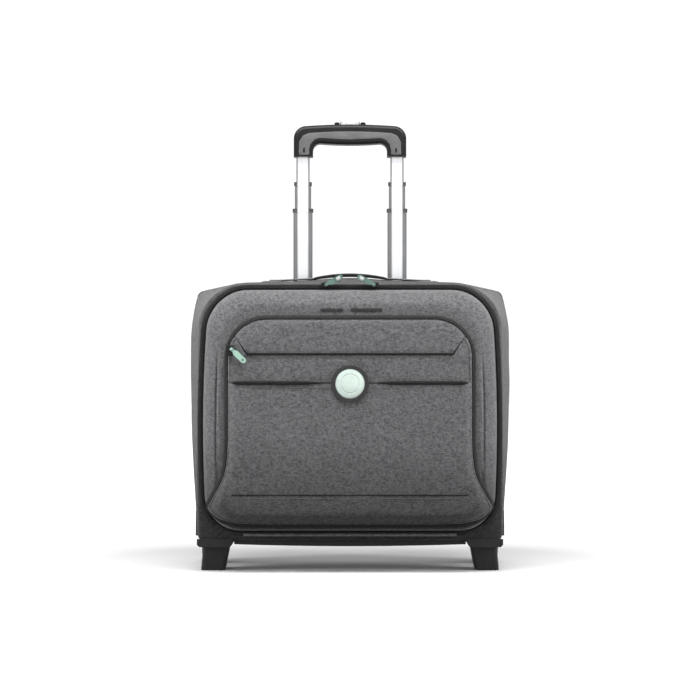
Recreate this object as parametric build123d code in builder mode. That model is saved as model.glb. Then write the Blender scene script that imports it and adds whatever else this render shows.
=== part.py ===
from build123d import *
import math
import os

os.makedirs("parts", exist_ok=True)

# Rolling laptop case with a four-section trolley handle. Millimetres, +Z up, the front
# faces -Y, and the origin is on the floor under the middle of the whole case.

# ---------------------------------------------------------------- driving dimensions
CASE_BOTTOM = 38            # underside of the fabric body
FRONT_Y = -58               # front edge of the body walls
MID_Y = -5                  # fullest section of the body
REAR_Y = 92                 # outside of the back wall
WALL = 5                    # padded body wall
LINING = 1.2                # lining cloth
LIP = 3                     # front lip that the zipper is sewn to
FIT = 0.3                   # clearance between pieces that move past each other

# Front-view outlines: half width at the bottom, middle and top, bottom height,
# top height, crown of the top edge, bottom corner radius, top corner radius
BODY_FRONT = (196, 198, 193, CASE_BOTTOM, 370, 0.5, 8, 52)
BODY_MID = (200, 208.9, 205, CASE_BOTTOM, 374, 3, 8, 62)
BODY_REAR = (200, 208, 207.5, CASE_BOTTOM, 367, 0.5, 18, 11)
ZIP_LINE = (190, 195, 188, 49, 367, 0.5, 48, 50)
LID_FACE = (178, 170, 166, 56, 346, 0.5, 36, 48)

LID_FACE_Y = -84            # flat front of the lid
LID_WALL = 3
TAPE_WIDTH = 3.2            # one half of the main zipper
TAPE_THICK = 3
ZIP_END_Z = 62              # the zipper stops at this height in the lower corners
HINGE_Y = -63               # lid hinge, a piped fold along the bottom
HINGE_Z = 47
PIPING_RADIUS = 2

POCKET_GUSSET_Y = -95.2     # front edge of the organiser pocket's gusset
POCKET_FRONT_Y = -97        # front face of the organiser pocket
POCKET_BOTTOM = 62
POCKET_TOP = 327
POCKET_HALF = 158
POCKET_FLARE = 176          # half width where the sides run out to the lower corners
ARCH_RADIUS = 50
FLAP_HINGE_Z = 281
FLAP_HALF = 132             # half length of the flap's fold line
FLAP_AXIS_Y = -97.3
FLAP_ROLL = 1.3             # radius of the piped fold that the flap turns on
SLIP_FRONT_Y = -103.2
SLIP_DEPTH = 5
SLIP_TOP = 244
SLIP_BOTTOM = 66
SLIP_HALF = 152
BADGE_Y = -105              # frontmost face of the case
BADGE_Z = 243
BADGE_RADIUS = 24
BADGE_DISC_RADIUS = 19

WHEEL_X = 182
WHEEL_Y = 68
WHEEL_RADIUS = 30
WHEEL_WIDTH = 22
HUB_RADIUS = 21
AXLE_RADIUS = 3
BEARING_RADIUS = 8
BEARING_WIDTH = 5
HOUSING_WALL = 3
HOUSING_TOP = 71
HOUSING_FRONT_Y = 33
HOUSING_RADIUS = 36
FENDER_LOW = 14

TUBE_X = 63.6               # half the distance between the trolley tubes
TUBE_Y = 75
OUTER_TUBE = (30, 21, 1.2)  # width, depth, wall of each telescoping section
LOWER_TUBE = (26, 17, 1.0)
MIDDLE_TUBE = (22.2, 13.2, 1.0)
UPPER_TUBE = (18, 9.4, 1.0)
TUBE_CORNER = 3.2
BRACKET_TOP = 52
OUTER_TUBE_TOP = 362
BEZEL_TOP = 370
COLLAR_HEIGHT = 5
COLLAR_LIP = 2
SHOE_HEIGHT = 10
LOWER_COLLAR_TOP = 476.9    # heights with the handle drawn out as it stands
MIDDLE_COLLAR_TOP = 512.9
LOWER_TUBE_END = 164.4
MIDDLE_TUBE_END = 204.9
UPPER_TUBE_END = 250.8
UPPER_TUBE_TOP = 566

GRIP_BOTTOM = 546.8
GRIP_TOP = 590.5
GRIP_SHOULDER = 587        # the arched top is lower at its ends
GRIP_UNDERSIDE = 564
GRIP_HALF = 76
GRIP_OPENING_HALF = 50
GRIP_DEPTH = 28
GRIP_CORNER = 17
BUTTON_TOP = 595
BUTTON_HALF = 13.3
BUTTON_DEPTH = 15
BUTTON_TRAVEL = 4
CROSSBAR_TOP = 577
CROSSBAR = 4
ROD_RADIUS = 2
PIN_RADIUS = 1.5
SPRING_LOW = 542

CARRY_HALF = 49             # black centre part of the carry handle
CARRY_DEPTH = 24
CARRY_TOP = 387
ANCHOR_LOW = 375
ANCHOR_TOP = 376.6
ANCHOR_X = (90, 116)

SLEEVE_HALF = 194
SLEEVE_FRONT_Y = 30
BOARD_Y = 60                # front face of the board in front of the trolley bay
BOARD_THICK = 3


# ---------------------------------------------------------------- shared shapes
def block(low, high, mode=Mode.ADD):
    """Box between two corners, in the part being built."""
    centre = tuple((a + b) / 2 for a, b in zip(low, high))
    with Locations(centre):
        Box(high[0] - low[0], high[1] - low[1], high[2] - low[2], mode=mode)


def outline(depth, shape, inset=0):
    """Front-view outline of a soft panel at one depth, pulled in all round by inset."""
    low_half, mid_half, top_half, bottom, top, crown, low_radius, top_radius = shape
    low = bottom + inset
    high = top - inset
    middle = (bottom + top) / 2
    with BuildSketch(Plane.XZ.offset(-depth)) as sketch:
        with BuildLine():
            Line((inset - low_half, low), (low_half - inset, low))
            ThreePointArc((low_half - inset, low), (mid_half - inset, middle), (top_half - inset, high))
            ThreePointArc((top_half - inset, high), (0, high + crown), (inset - top_half, high))
            ThreePointArc((inset - top_half, high), (inset - mid_half, middle), (inset - low_half, low))
        make_face()
        fillet(sketch.vertices().group_by(Axis.Y)[0], low_radius - inset)
        fillet(sketch.vertices().group_by(Axis.Y)[-1], top_radius - inset)
    return sketch.sketch


def mirrored(piece):
    """The same piece on the other side of the case."""
    with BuildPart() as twin:
        mirror(piece.part, about=Plane.YZ)
    return twin


def write_pair(right, name):
    """Write a right-hand piece and its mirrored left-hand twin."""
    left = mirrored(right)
    for piece, side in ((right, "right"), (left, "left")):
        piece.part.label = f"{name}_{side}"
        export_step(piece.part, f"parts/{name}_{side}.step")


def write_both(right, name):
    """Write a right-hand piece and its mirrored twin as two solids of one node."""
    with BuildPart() as both:
        add(right.part)
        mirror(right.part, about=Plane.YZ)
    both.part.label = name
    export_step(both.part, f"parts/{name}.step")


def body_loft(inset, rear_y, mode=Mode.ADD):
    """Soft body between the front edge and rear_y, pulled in by inset."""
    sections = [
        outline(FRONT_Y, BODY_FRONT, inset),
        outline(MID_Y, BODY_MID, inset),
        outline(rear_y, BODY_REAR, inset),
    ]
    loft(sections=sections, mode=mode)


def cut_wheel_corners():
    """Take the two rear bottom corners away, where the wheel housings go."""
    x_in = WHEEL_X - WHEEL_WIDTH / 2 - 1.5 - HOUSING_WALL
    block((x_in - FIT, HOUSING_FRONT_Y - FIT, 0), (230, REAR_Y + 20, HOUSING_TOP + FIT), Mode.SUBTRACT)
    block((-230, HOUSING_FRONT_Y - FIT, 0), (FIT - x_in, REAR_Y + 20, HOUSING_TOP + FIT), Mode.SUBTRACT)


BEZEL_HALF = 95
BEZEL_NECK_HALF = 90
BEZEL_Y = (63.5, 91.5)
BEZEL_NECK_Y = (64.5, 86.5)
BEZEL_FLANGE_Z = 366


def cut_bezel_slot():
    """Open the top of the body for the trolley bezel."""
    block((-BEZEL_NECK_HALF, BEZEL_NECK_Y[0], 340), (BEZEL_NECK_HALF, BEZEL_NECK_Y[1], 390), Mode.SUBTRACT)
    block((-BEZEL_HALF, BEZEL_Y[0], BEZEL_FLANGE_Z), (BEZEL_HALF, REAR_Y + 5, 390), Mode.SUBTRACT)


# ---------------------------------------------------------------- fabric body
with BuildPart() as main_shell:
    body_loft(0, REAR_Y)
    body_loft(WALL, REAR_Y - WALL, Mode.SUBTRACT)
    extrude(outline(FRONT_Y, BODY_FRONT), amount=LIP)
    extrude(outline(FRONT_Y, ZIP_LINE, 6), amount=LIP, mode=Mode.SUBTRACT)
    cut_wheel_corners()
    cut_bezel_slot()
    for side in (-1, 1):
        with Locations((side * sum(ANCHOR_X) / 2, 0, ANCHOR_LOW + 5)):
            Box(ANCHOR_X[1] - ANCHOR_X[0], 28, 10, mode=Mode.SUBTRACT)
main_shell.part.label = "main_shell"
export_step(main_shell.part, "parts/main_shell.step")

with BuildPart() as inner_lining:
    body_loft(WALL, REAR_Y - WALL)
    body_loft(WALL + LINING, REAR_Y - WALL - LINING, Mode.SUBTRACT)
    cut_wheel_corners()
    cut_bezel_slot()
inner_lining.part.label = "inner_lining"
export_step(inner_lining.part, "parts/inner_lining.step")

# Sprung steel wire that keeps the mouth of the case square
WIRE_RADIUS = 2
WIRE_Y = -50
WIRE_MOUTH = (183, 185.5, 180, 50.5, 357.5, 0.5, 10, 42)
with BuildPart() as wire_frame:
    wire_path = outline(WIRE_Y, WIRE_MOUTH).wire()
    with BuildSketch(Plane(origin=wire_path @ 0, z_dir=wire_path % 0)):
        Circle(WIRE_RADIUS)
    sweep(path=wire_path)
wire_frame.part.label = "wire_frame"
export_step(wire_frame.part, "parts/wire_frame.step")

# Stiff board between the main compartment and the trolley bay
with BuildPart() as divider_board:
    with BuildSketch(Plane.XZ.offset(-BOARD_Y)):
        with Locations((0, (74 + 352) / 2)):
            RectangleRounded(2 * SLEEVE_HALF, 352 - 74, 20)
    extrude(amount=-BOARD_THICK)
divider_board.part.label = "divider_board"
export_step(divider_board.part, "parts/divider_board.step")

# Padded laptop sleeve in front of the board, open at the top: four panels sewn edge to edge
SLEEVE_LOW = 74
SLEEVE_TOP = 335
SLEEVE_PAD = 4
SEAM = 0.1
with BuildPart() as laptop_sleeve:
    inner_half = SLEEVE_HALF - SLEEVE_PAD
    inner_y = SLEEVE_FRONT_Y + SLEEVE_PAD
    block((-SLEEVE_HALF, SLEEVE_FRONT_Y, SLEEVE_LOW), (SLEEVE_HALF, inner_y, SLEEVE_TOP))
    block((inner_half, inner_y + SEAM, SLEEVE_LOW), (SLEEVE_HALF, BOARD_Y, SLEEVE_TOP))
    block((-SLEEVE_HALF, inner_y + SEAM, SLEEVE_LOW), (-inner_half, BOARD_Y, SLEEVE_TOP))
    block(
        (SEAM - inner_half, inner_y + SEAM, SLEEVE_LOW),
        (inner_half - SEAM, BOARD_Y, SLEEVE_LOW + SLEEVE_PAD),
    )
laptop_sleeve.part.label = "laptop_sleeve"
export_step(laptop_sleeve.part, "parts/laptop_sleeve.step")

with BuildPart() as back_panel:
    with BuildSketch(Plane.XZ.offset(-REAR_Y)):
        with Locations((0, 210)):
            RectangleRounded(336, 268, 34)
    extrude(amount=-4)
    fillet(back_panel.faces().sort_by(Axis.Y)[-1].edges(), 2.5)
back_panel.part.label = "back_panel"
export_step(back_panel.part, "parts/back_panel.step")

# Two ribs that the case slides on when it is pulled up stairs
SKID_X = 112
with BuildPart() as skid:
    with BuildSketch(Plane.YZ.offset(SKID_X - 8)):
        with BuildLine():
            Polyline((REAR_Y + 4, 86), (REAR_Y + 4, 196), (105, 180), (105, 98), (REAR_Y + 4, 86))
        make_face()
    extrude(amount=16)
    fillet(skid.edges().filter_by(Axis.X).sort_by(Axis.Y)[-2:], 5)
write_both(skid, "stair_skids")

# Moulded tray under the body, sagging a little in the middle
TRAY_HALF = 150
with BuildPart() as base_tray:
    with BuildSketch(Plane.XZ.offset(60)):
        with BuildLine():
            Line((-TRAY_HALF, 34.5), (-TRAY_HALF, CASE_BOTTOM))
            Line((-TRAY_HALF, CASE_BOTTOM), (TRAY_HALF, CASE_BOTTOM))
            Line((TRAY_HALF, CASE_BOTTOM), (TRAY_HALF, 34.5))
            ThreePointArc((TRAY_HALF, 34.5), (0, 32), (-TRAY_HALF, 34.5))
        make_face()
    extrude(amount=-146)
    fillet(base_tray.edges().filter_by(Axis.Z), 1.5)
base_tray.part.label = "base_tray"
export_step(base_tray.part, "parts/base_tray.step")

# ---------------------------------------------------------------- front feet
FOOT_TOP = 31
with BuildPart() as foot:
    block((152.5, -64, FOOT_TOP), (198, -12, CASE_BOTTOM))
    block((152.5, -64, FOOT_TOP), (198, FRONT_Y - LIP, 41.5))
    chamfer(foot.edges().filter_by(Axis.Y).group_by(Axis.Z)[0], 3)
    foot_top = Plane.XY.offset(FOOT_TOP)
    with BuildSketch(foot_top):
        with Locations((173.6, -35.5)):
            RectangleRounded(34.6, 37, 5)
    with BuildSketch(Plane.XY):
        with Locations((178.1, -35.5)):
            RectangleRounded(31, 34, 5)
    loft()
    fillet(foot.faces().sort_by(Axis.Z)[0].edges(), 1.5)
write_pair(foot, "foot")

# ---------------------------------------------------------------- wheels and housings
HOUSING_IN = WHEEL_X - WHEEL_WIDTH / 2 - 1.5 - HOUSING_WALL
HOUSING_OUT = WHEEL_X + WHEEL_WIDTH / 2 + 1.5 + HOUSING_WALL
CORNER_OUT = 206.5
with BuildPart() as housing:
    with BuildSketch(Plane.YZ.offset(HOUSING_IN)):
        with Locations((WHEEL_Y, WHEEL_RADIUS)):
            Circle(HOUSING_RADIUS)
        with Locations(((HOUSING_FRONT_Y + 94) / 2, (CASE_BOTTOM - 6 + HOUSING_TOP) / 2)):
            Rectangle(94 - HOUSING_FRONT_Y, HOUSING_TOP - CASE_BOTTOM + 6)
        with Locations((WHEEL_Y, 0)):
            Rectangle(120, 2 * FENDER_LOW, mode=Mode.SUBTRACT)
    extrude(amount=HOUSING_OUT - HOUSING_IN)
    block((HOUSING_OUT, HOUSING_FRONT_Y, CASE_BOTTOM), (CORNER_OUT, 94, HOUSING_TOP))
    fillet(housing.edges().filter_by(Axis.Z).sort_by(Axis.X)[-2:], 6)
    with BuildSketch(Plane.YZ.offset(HOUSING_IN + HOUSING_WALL)):
        with Locations((WHEEL_Y, WHEEL_RADIUS)):
            Circle(HOUSING_RADIUS - HOUSING_WALL)
        with Locations((WHEEL_Y, 0)):
            Rectangle(2 * (HOUSING_RADIUS - HOUSING_WALL), 2 * WHEEL_RADIUS)
    extrude(amount=WHEEL_WIDTH + 3, mode=Mode.SUBTRACT)
    with Locations(Location((WHEEL_X, WHEEL_Y, WHEEL_RADIUS), (0, 90, 0))):
        Cylinder(AXLE_RADIUS, HOUSING_OUT - HOUSING_IN, mode=Mode.SUBTRACT)
write_pair(housing, "wheel_housing")

WHEEL_PLANE = Plane(origin=(WHEEL_X, WHEEL_Y, WHEEL_RADIUS), x_dir=(0, 1, 0), z_dir=(1, 0, 0))

with BuildPart(WHEEL_PLANE) as axle:
    Cylinder(AXLE_RADIUS, HOUSING_OUT - HOUSING_IN)
    with Locations((0, 0, (HOUSING_OUT - HOUSING_IN) / 2 + 0.75)):
        Cylinder(5, 1.5)
    with Locations((0, 0, -(HOUSING_OUT - HOUSING_IN) / 2 - 0.75)):
        Cylinder(5, 1.5)
write_both(axle, "axles")

with BuildPart(WHEEL_PLANE) as tyre:
    Cylinder(WHEEL_RADIUS, WHEEL_WIDTH)
    fillet(tyre.edges(), 3)
    Cylinder(HUB_RADIUS, WHEEL_WIDTH, mode=Mode.SUBTRACT)
write_pair(tyre, "tyre")

with BuildPart(WHEEL_PLANE) as wheel_hub:
    Cylinder(HUB_RADIUS, WHEEL_WIDTH - 2)
    for face_side in (-1, 1):
        with Locations((0, 0, face_side * (WHEEL_WIDTH / 2 - 3.5))):
            Cylinder(HUB_RADIUS - 2.5, 5, mode=Mode.SUBTRACT)
            Cylinder(BEARING_RADIUS + 2, 5)
        with Locations((0, 0, face_side * (WHEEL_WIDTH / 2 - 1 - BEARING_WIDTH / 2))):
            Cylinder(BEARING_RADIUS, BEARING_WIDTH, mode=Mode.SUBTRACT)
    Cylinder(AXLE_RADIUS + 1, WHEEL_WIDTH, mode=Mode.SUBTRACT)
    with PolarLocations((HUB_RADIUS + BEARING_RADIUS) / 2, 5):
        Cylinder(3, WHEEL_WIDTH, mode=Mode.SUBTRACT)
write_pair(wheel_hub, "wheel_hub")

with BuildPart(WHEEL_PLANE) as bearings:
    for face_side in (-1, 1):
        with Locations((0, 0, face_side * (WHEEL_WIDTH / 2 - 1 - BEARING_WIDTH / 2))):
            Cylinder(BEARING_RADIUS, BEARING_WIDTH)
            Cylinder(AXLE_RADIUS + 0.05, BEARING_WIDTH, mode=Mode.SUBTRACT)
write_pair(bearings, "bearings")


# ---------------------------------------------------------------- trolley handle
def tube_section(size, low, high):
    """Rounded rectangular tube at the right-hand trolley position."""
    width, depth, wall = size
    with BuildPart() as piece:
        with BuildSketch(Plane.XY.offset(low)):
            with Locations((TUBE_X, TUBE_Y)):
                RectangleRounded(width, depth, TUBE_CORNER)
                RectangleRounded(width - 2 * wall, depth - 2 * wall, TUBE_CORNER - wall, mode=Mode.SUBTRACT)
        extrude(amount=high - low)
    return piece


def guide_shoe(outer_size, end_height):
    """Plastic shoe under a section's lower end, sliding in the next larger tube."""
    width, depth, wall = outer_size
    with BuildPart() as piece:
        with BuildSketch(Plane.XY.offset(end_height - SHOE_HEIGHT)):
            with Locations((TUBE_X, TUBE_Y)):
                RectangleRounded(width - 2 * wall - 0.4, depth - 2 * wall - 0.4, TUBE_CORNER - wall)
        extrude(amount=SHOE_HEIGHT)
        chamfer(piece.faces().sort_by(Axis.Z)[0].edges(), 0.6)
    return piece


def collar(size, inner_size, top):
    """Plastic collar on a section's upper end, guiding the next smaller tube."""
    with BuildPart() as piece:
        with BuildSketch(Plane.XY.offset(top - COLLAR_HEIGHT)):
            with Locations((TUBE_X, TUBE_Y)):
                RectangleRounded(size[0] + 2, size[1] + 2, TUBE_CORNER + 0.6)
        extrude(amount=COLLAR_HEIGHT)
        with BuildSketch(Plane.XY.offset(top - COLLAR_HEIGHT)):
            with Locations((TUBE_X, TUBE_Y)):
                RectangleRounded(size[0], size[1], TUBE_CORNER)
        extrude(amount=COLLAR_HEIGHT - COLLAR_LIP, mode=Mode.SUBTRACT)
        with BuildSketch(Plane.XY.offset(top - COLLAR_LIP)):
            with Locations((TUBE_X, TUBE_Y)):
                RectangleRounded(inner_size[0] + 2 * FIT, inner_size[1] + 2 * FIT, TUBE_CORNER)
        extrude(amount=COLLAR_LIP, mode=Mode.SUBTRACT)
    return piece


write_pair(tube_section(OUTER_TUBE, BRACKET_TOP, OUTER_TUBE_TOP), "outer_tube")
write_pair(tube_section(LOWER_TUBE, LOWER_TUBE_END, LOWER_COLLAR_TOP - COLLAR_LIP), "lower_tube")
write_pair(tube_section(MIDDLE_TUBE, MIDDLE_TUBE_END, MIDDLE_COLLAR_TOP - COLLAR_LIP), "middle_tube")
write_pair(tube_section(UPPER_TUBE, UPPER_TUBE_END, UPPER_TUBE_TOP), "upper_tube")

# The two collars of one section are alike, so they share a node, and so do its shoes
write_both(collar(LOWER_TUBE, MIDDLE_TUBE, LOWER_COLLAR_TOP), "lower_collars")
write_both(collar(MIDDLE_TUBE, UPPER_TUBE, MIDDLE_COLLAR_TOP), "middle_collars")
write_both(guide_shoe(OUTER_TUBE, LOWER_TUBE_END), "lower_shoes")
write_both(guide_shoe(LOWER_TUBE, MIDDLE_TUBE_END), "middle_shoes")

# Upper shoes: bored for the push rod from above and for the lock pin from the side
PIN_Z = UPPER_TUBE_END - SHOE_HEIGHT + 3.2
PIN_IN = TUBE_X + 1
PIN_OUT = TUBE_X + MIDDLE_TUBE[0] / 2 - MIDDLE_TUBE[2] - FIT
upper_shoe = guide_shoe(MIDDLE_TUBE, UPPER_TUBE_END)
with BuildPart() as upper_shoes:
    add(upper_shoe.part)
    with Locations((TUBE_X, TUBE_Y, UPPER_TUBE_END)):
        Cylinder(ROD_RADIUS + FIT, 8, mode=Mode.SUBTRACT)
    with Locations(Location((TUBE_X + 4.5, TUBE_Y, PIN_Z), (0, 90, 0))):
        Cylinder(PIN_RADIUS + 0.05, 12, mode=Mode.SUBTRACT)
    mirror(about=Plane.YZ)
upper_shoes.part.label = "upper_shoes"
export_step(upper_shoes.part, "parts/upper_shoes.step")

with BuildPart() as lock_pin:
    with Locations(Location(((PIN_IN + PIN_OUT) / 2, TUBE_Y, PIN_Z), (0, 90, 0))):
        Cylinder(PIN_RADIUS, PIN_OUT - PIN_IN)
    chamfer(lock_pin.edges().filter_by(GeomType.CIRCLE).sort_by(Axis.X)[-1], 0.4)
write_pair(lock_pin, "lock_pin")

with BuildPart() as trolley_bezel:
    block((-BEZEL_HALF, BEZEL_Y[0], BEZEL_FLANGE_Z), (BEZEL_HALF, BEZEL_Y[1], BEZEL_TOP))
    fillet(trolley_bezel.edges().filter_by(Axis.Z), 6)
    fillet(trolley_bezel.faces().sort_by(Axis.Z)[-1].edges(), 1.5)
    block((-BEZEL_NECK_HALF, BEZEL_NECK_Y[0], OUTER_TUBE_TOP), (BEZEL_NECK_HALF, BEZEL_NECK_Y[1], BEZEL_FLANGE_Z))
    for side in (-1, 1):
        with BuildSketch(Plane.XY.offset(OUTER_TUBE_TOP)):
            with Locations((side * TUBE_X, TUBE_Y)):
                RectangleRounded(LOWER_TUBE[0] + 2 * FIT, LOWER_TUBE[1] + 2 * FIT, TUBE_CORNER)
        extrude(amount=BEZEL_TOP - OUTER_TUBE_TOP, mode=Mode.SUBTRACT)
trolley_bezel.part.label = "trolley_bezel"
export_step(trolley_bezel.part, "parts/trolley_bezel.step")

FLOOR_Z = CASE_BOTTOM + WALL + LINING
with BuildPart() as trolley_bracket:
    block((-84, 64.5, FLOOR_Z), (84, REAR_Y - WALL - LINING, BRACKET_TOP))
    fillet(trolley_bracket.edges().filter_by(Axis.Z), 4)
    with Locations((0, TUBE_Y, BRACKET_TOP)):
        with GridLocations(120, 0, 2, 1):
            CounterBoreHole(2, 4, 3)
trolley_bracket.part.label = "trolley_bracket"
export_step(trolley_bracket.part, "parts/trolley_bracket.step")

# Grip: a flat-topped U on the two upper tubes, with a rim round the button
GRIP_Y = (TUBE_Y - GRIP_DEPTH / 2, TUBE_Y + GRIP_DEPTH / 2)
with BuildPart() as trolley_grip:
    with BuildSketch(Plane.XZ.offset(-GRIP_Y[1])) as grip_profile:
        with BuildLine():
            Line((-GRIP_HALF, GRIP_BOTTOM), (-GRIP_HALF, GRIP_SHOULDER))
            ThreePointArc((-GRIP_HALF, GRIP_SHOULDER), (0, GRIP_TOP), (GRIP_HALF, GRIP_SHOULDER))
            Line((GRIP_HALF, GRIP_SHOULDER), (GRIP_HALF, GRIP_BOTTOM))
            Line((GRIP_HALF, GRIP_BOTTOM), (GRIP_OPENING_HALF, GRIP_BOTTOM))
            Line((GRIP_OPENING_HALF, GRIP_BOTTOM), (GRIP_OPENING_HALF, GRIP_UNDERSIDE + 1.5))
            ThreePointArc(
                (GRIP_OPENING_HALF, GRIP_UNDERSIDE + 1.5),
                (0, GRIP_UNDERSIDE - 1),
                (-GRIP_OPENING_HALF, GRIP_UNDERSIDE + 1.5),
            )
            Line((-GRIP_OPENING_HALF, GRIP_UNDERSIDE + 1.5), (-GRIP_OPENING_HALF, GRIP_BOTTOM))
            Line((-GRIP_OPENING_HALF, GRIP_BOTTOM), (-GRIP_HALF, GRIP_BOTTOM))
        make_face()
        fillet(grip_profile.vertices().group_by(Axis.Y)[-1], GRIP_CORNER)
        inner_corners = grip_profile.vertices().filter_by_position(Axis.Y, GRIP_UNDERSIDE, GRIP_UNDERSIDE + 3)
        fillet(inner_corners, 10)
    extrude(amount=GRIP_DEPTH)
    rim_edges = trolley_grip.faces().filter_by(Axis.Y).edges()
    fillet(rim_edges.group_by(Axis.Z)[1:], 5)
    for side in (-1, 1):
        with BuildSketch(Plane.XY.offset(GRIP_BOTTOM - 1)):
            with Locations((side * TUBE_X, TUBE_Y)):
                RectangleRounded(UPPER_TUBE[0], UPPER_TUBE[1], TUBE_CORNER)
        extrude(amount=UPPER_TUBE_TOP - GRIP_BOTTOM + 1, mode=Mode.SUBTRACT)
    # Raised ears each side of the button
    for side in (-1, 1):
        with BuildSketch(Plane.XZ.offset(-TUBE_Y - 8)):
            with Locations((side * (BUTTON_HALF + 4.2), GRIP_TOP - 1)):
                RectangleRounded(7.4, 8, 2.5)
        extrude(amount=16)
    # Button well, its stem's slot and the channel for the cross bar
    block(
        (-BUTTON_HALF - FIT, TUBE_Y - BUTTON_DEPTH / 2 - FIT, BUTTON_TOP - 16.3),
        (BUTTON_HALF + FIT, TUBE_Y + BUTTON_DEPTH / 2 + FIT, BUTTON_TOP + 5),
        Mode.SUBTRACT,
    )
    channel_half = TUBE_X + ROD_RADIUS + 1
    block(
        (-channel_half, TUBE_Y - CROSSBAR / 2 - FIT, CROSSBAR_TOP - CROSSBAR - BUTTON_TRAVEL - FIT),
        (channel_half, TUBE_Y + CROSSBAR / 2 + FIT, CROSSBAR_TOP + FIT),
        Mode.SUBTRACT,
    )
    block(
        (-5 - FIT, TUBE_Y - CROSSBAR / 2 - FIT, CROSSBAR_TOP),
        (5 + FIT, TUBE_Y + CROSSBAR / 2 + FIT, BUTTON_TOP - 10),
        Mode.SUBTRACT,
    )
    for side in (-1, 1):
        with Locations((side * TUBE_X, TUBE_Y, UPPER_TUBE_TOP + 2)):
            Cylinder(ROD_RADIUS + FIT, 8, mode=Mode.SUBTRACT)
trolley_grip.part.label = "trolley_grip"
export_step(trolley_grip.part, "parts/trolley_grip.step")

# Button with a dished top and a raised middle
with BuildPart() as push_button:
    block(
        (-BUTTON_HALF, TUBE_Y - BUTTON_DEPTH / 2, BUTTON_TOP - 12),
        (BUTTON_HALF, TUBE_Y + BUTTON_DEPTH / 2, BUTTON_TOP),
    )
    fillet(push_button.edges().filter_by(Axis.Z), 3)
    with Locations(Location((0, TUBE_Y, BUTTON_TOP + 21), (90, 0, 0))):
        Cylinder(24, BUTTON_DEPTH + 2, mode=Mode.SUBTRACT)
    with Locations((0, TUBE_Y, BUTTON_TOP - 4)):
        Cylinder(4.5, 5)
    fillet(push_button.faces().filter_by(Axis.Z).group_by(Axis.Z)[-2].edges(), 0.8)
    block((-5, TUBE_Y - CROSSBAR / 2, CROSSBAR_TOP), (5, TUBE_Y + CROSSBAR / 2, BUTTON_TOP - 12))
push_button.part.label = "push_button"
export_step(push_button.part, "parts/push_button.step")

# Cross bar under the button, with a rod down each upper tube to its lock pin
ROD_END = UPPER_TUBE_END + 1
ROD_FLANGE_Z = UPPER_TUBE_TOP - 3
with BuildPart() as push_rods:
    block(
        (-TUBE_X - ROD_RADIUS, TUBE_Y - CROSSBAR / 2, CROSSBAR_TOP - CROSSBAR),
        (TUBE_X + ROD_RADIUS, TUBE_Y + CROSSBAR / 2, CROSSBAR_TOP),
    )
    for side in (-1, 1):
        with Locations((side * TUBE_X, TUBE_Y, (ROD_END + CROSSBAR_TOP - 1) / 2)):
            Cylinder(ROD_RADIUS, CROSSBAR_TOP - 1 - ROD_END)
        with Locations((side * TUBE_X, TUBE_Y, ROD_FLANGE_Z - 0.75)):
            Cylinder(3.3, 1.5)
push_rods.part.label = "push_rods"
export_step(push_rods.part, "parts/push_rods.step")

SPRING_WIRE = 0.35
SPRING_TOP = ROD_FLANGE_Z - 1.5
with BuildPart() as button_springs:
    coil = Helix(pitch=3, height=SPRING_TOP - SPRING_LOW - 2 * SPRING_WIRE, radius=2.75,
                 center=(TUBE_X, TUBE_Y, SPRING_LOW + SPRING_WIRE))
    with BuildSketch(Plane(origin=coil @ 0, z_dir=coil % 0)):
        Circle(SPRING_WIRE)
    sweep(path=coil, is_frenet=True)
    mirror(about=Plane.YZ)
button_springs.part.label = "button_springs"
export_step(button_springs.part, "parts/button_springs.step")

# ---------------------------------------------------------------- carry handle
with BuildPart() as carry_grip:
    with BuildSketch(Plane.XZ.offset(CARRY_DEPTH / 2)):
        with BuildLine():
            Line((-CARRY_HALF, 378.4), (-CARRY_HALF, 381.3))
            ThreePointArc((-CARRY_HALF, 381.3), (0, CARRY_TOP), (CARRY_HALF, 381.3))
            Line((CARRY_HALF, 381.3), (CARRY_HALF, 378.4))
            ThreePointArc((CARRY_HALF, 378.4), (0, CARRY_TOP - 4.6), (-CARRY_HALF, 378.4))
        make_face()
    extrude(amount=-CARRY_DEPTH)
    fillet(carry_grip.faces().filter_by(Axis.Y).edges().filter_by(GeomType.CIRCLE), 1.2)
carry_grip.part.label = "carry_grip"
export_step(carry_grip.part, "parts/carry_grip.step")

STRAP_END_X = 100
with BuildPart() as strap_end:
    with BuildSketch(Plane.XZ.offset(CARRY_DEPTH / 2)):
        with BuildLine():
            Polyline(
                (CARRY_HALF + FIT, 378.5),
                (CARRY_HALF + FIT, 381.1),
                (STRAP_END_X, ANCHOR_TOP + 1.5),
                (STRAP_END_X, ANCHOR_TOP),
                (CARRY_HALF + FIT, 378.5),
            )
        make_face()
    extrude(amount=-CARRY_DEPTH)
write_both(strap_end, "carry_straps")

with BuildPart() as anchor:
    block((ANCHOR_X[0], -14, ANCHOR_LOW), (ANCHOR_X[1], 14, ANCHOR_TOP))
    fillet(anchor.edges().filter_by(Axis.Z), 4)
write_both(anchor, "carry_anchors")

# ---------------------------------------------------------------- lid and its zipper
with BuildPart() as body_zip_tape:
    extrude(outline(FRONT_Y - LIP, ZIP_LINE, -TAPE_WIDTH), amount=TAPE_THICK)
    extrude(outline(FRONT_Y - LIP, ZIP_LINE, -0.2), amount=TAPE_THICK, mode=Mode.SUBTRACT)
    block((-230, -80, 0), (230, -50, ZIP_END_Z), Mode.SUBTRACT)
body_zip_tape.part.label = "body_zip_tape"
export_step(body_zip_tape.part, "parts/body_zip_tape.step")

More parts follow.
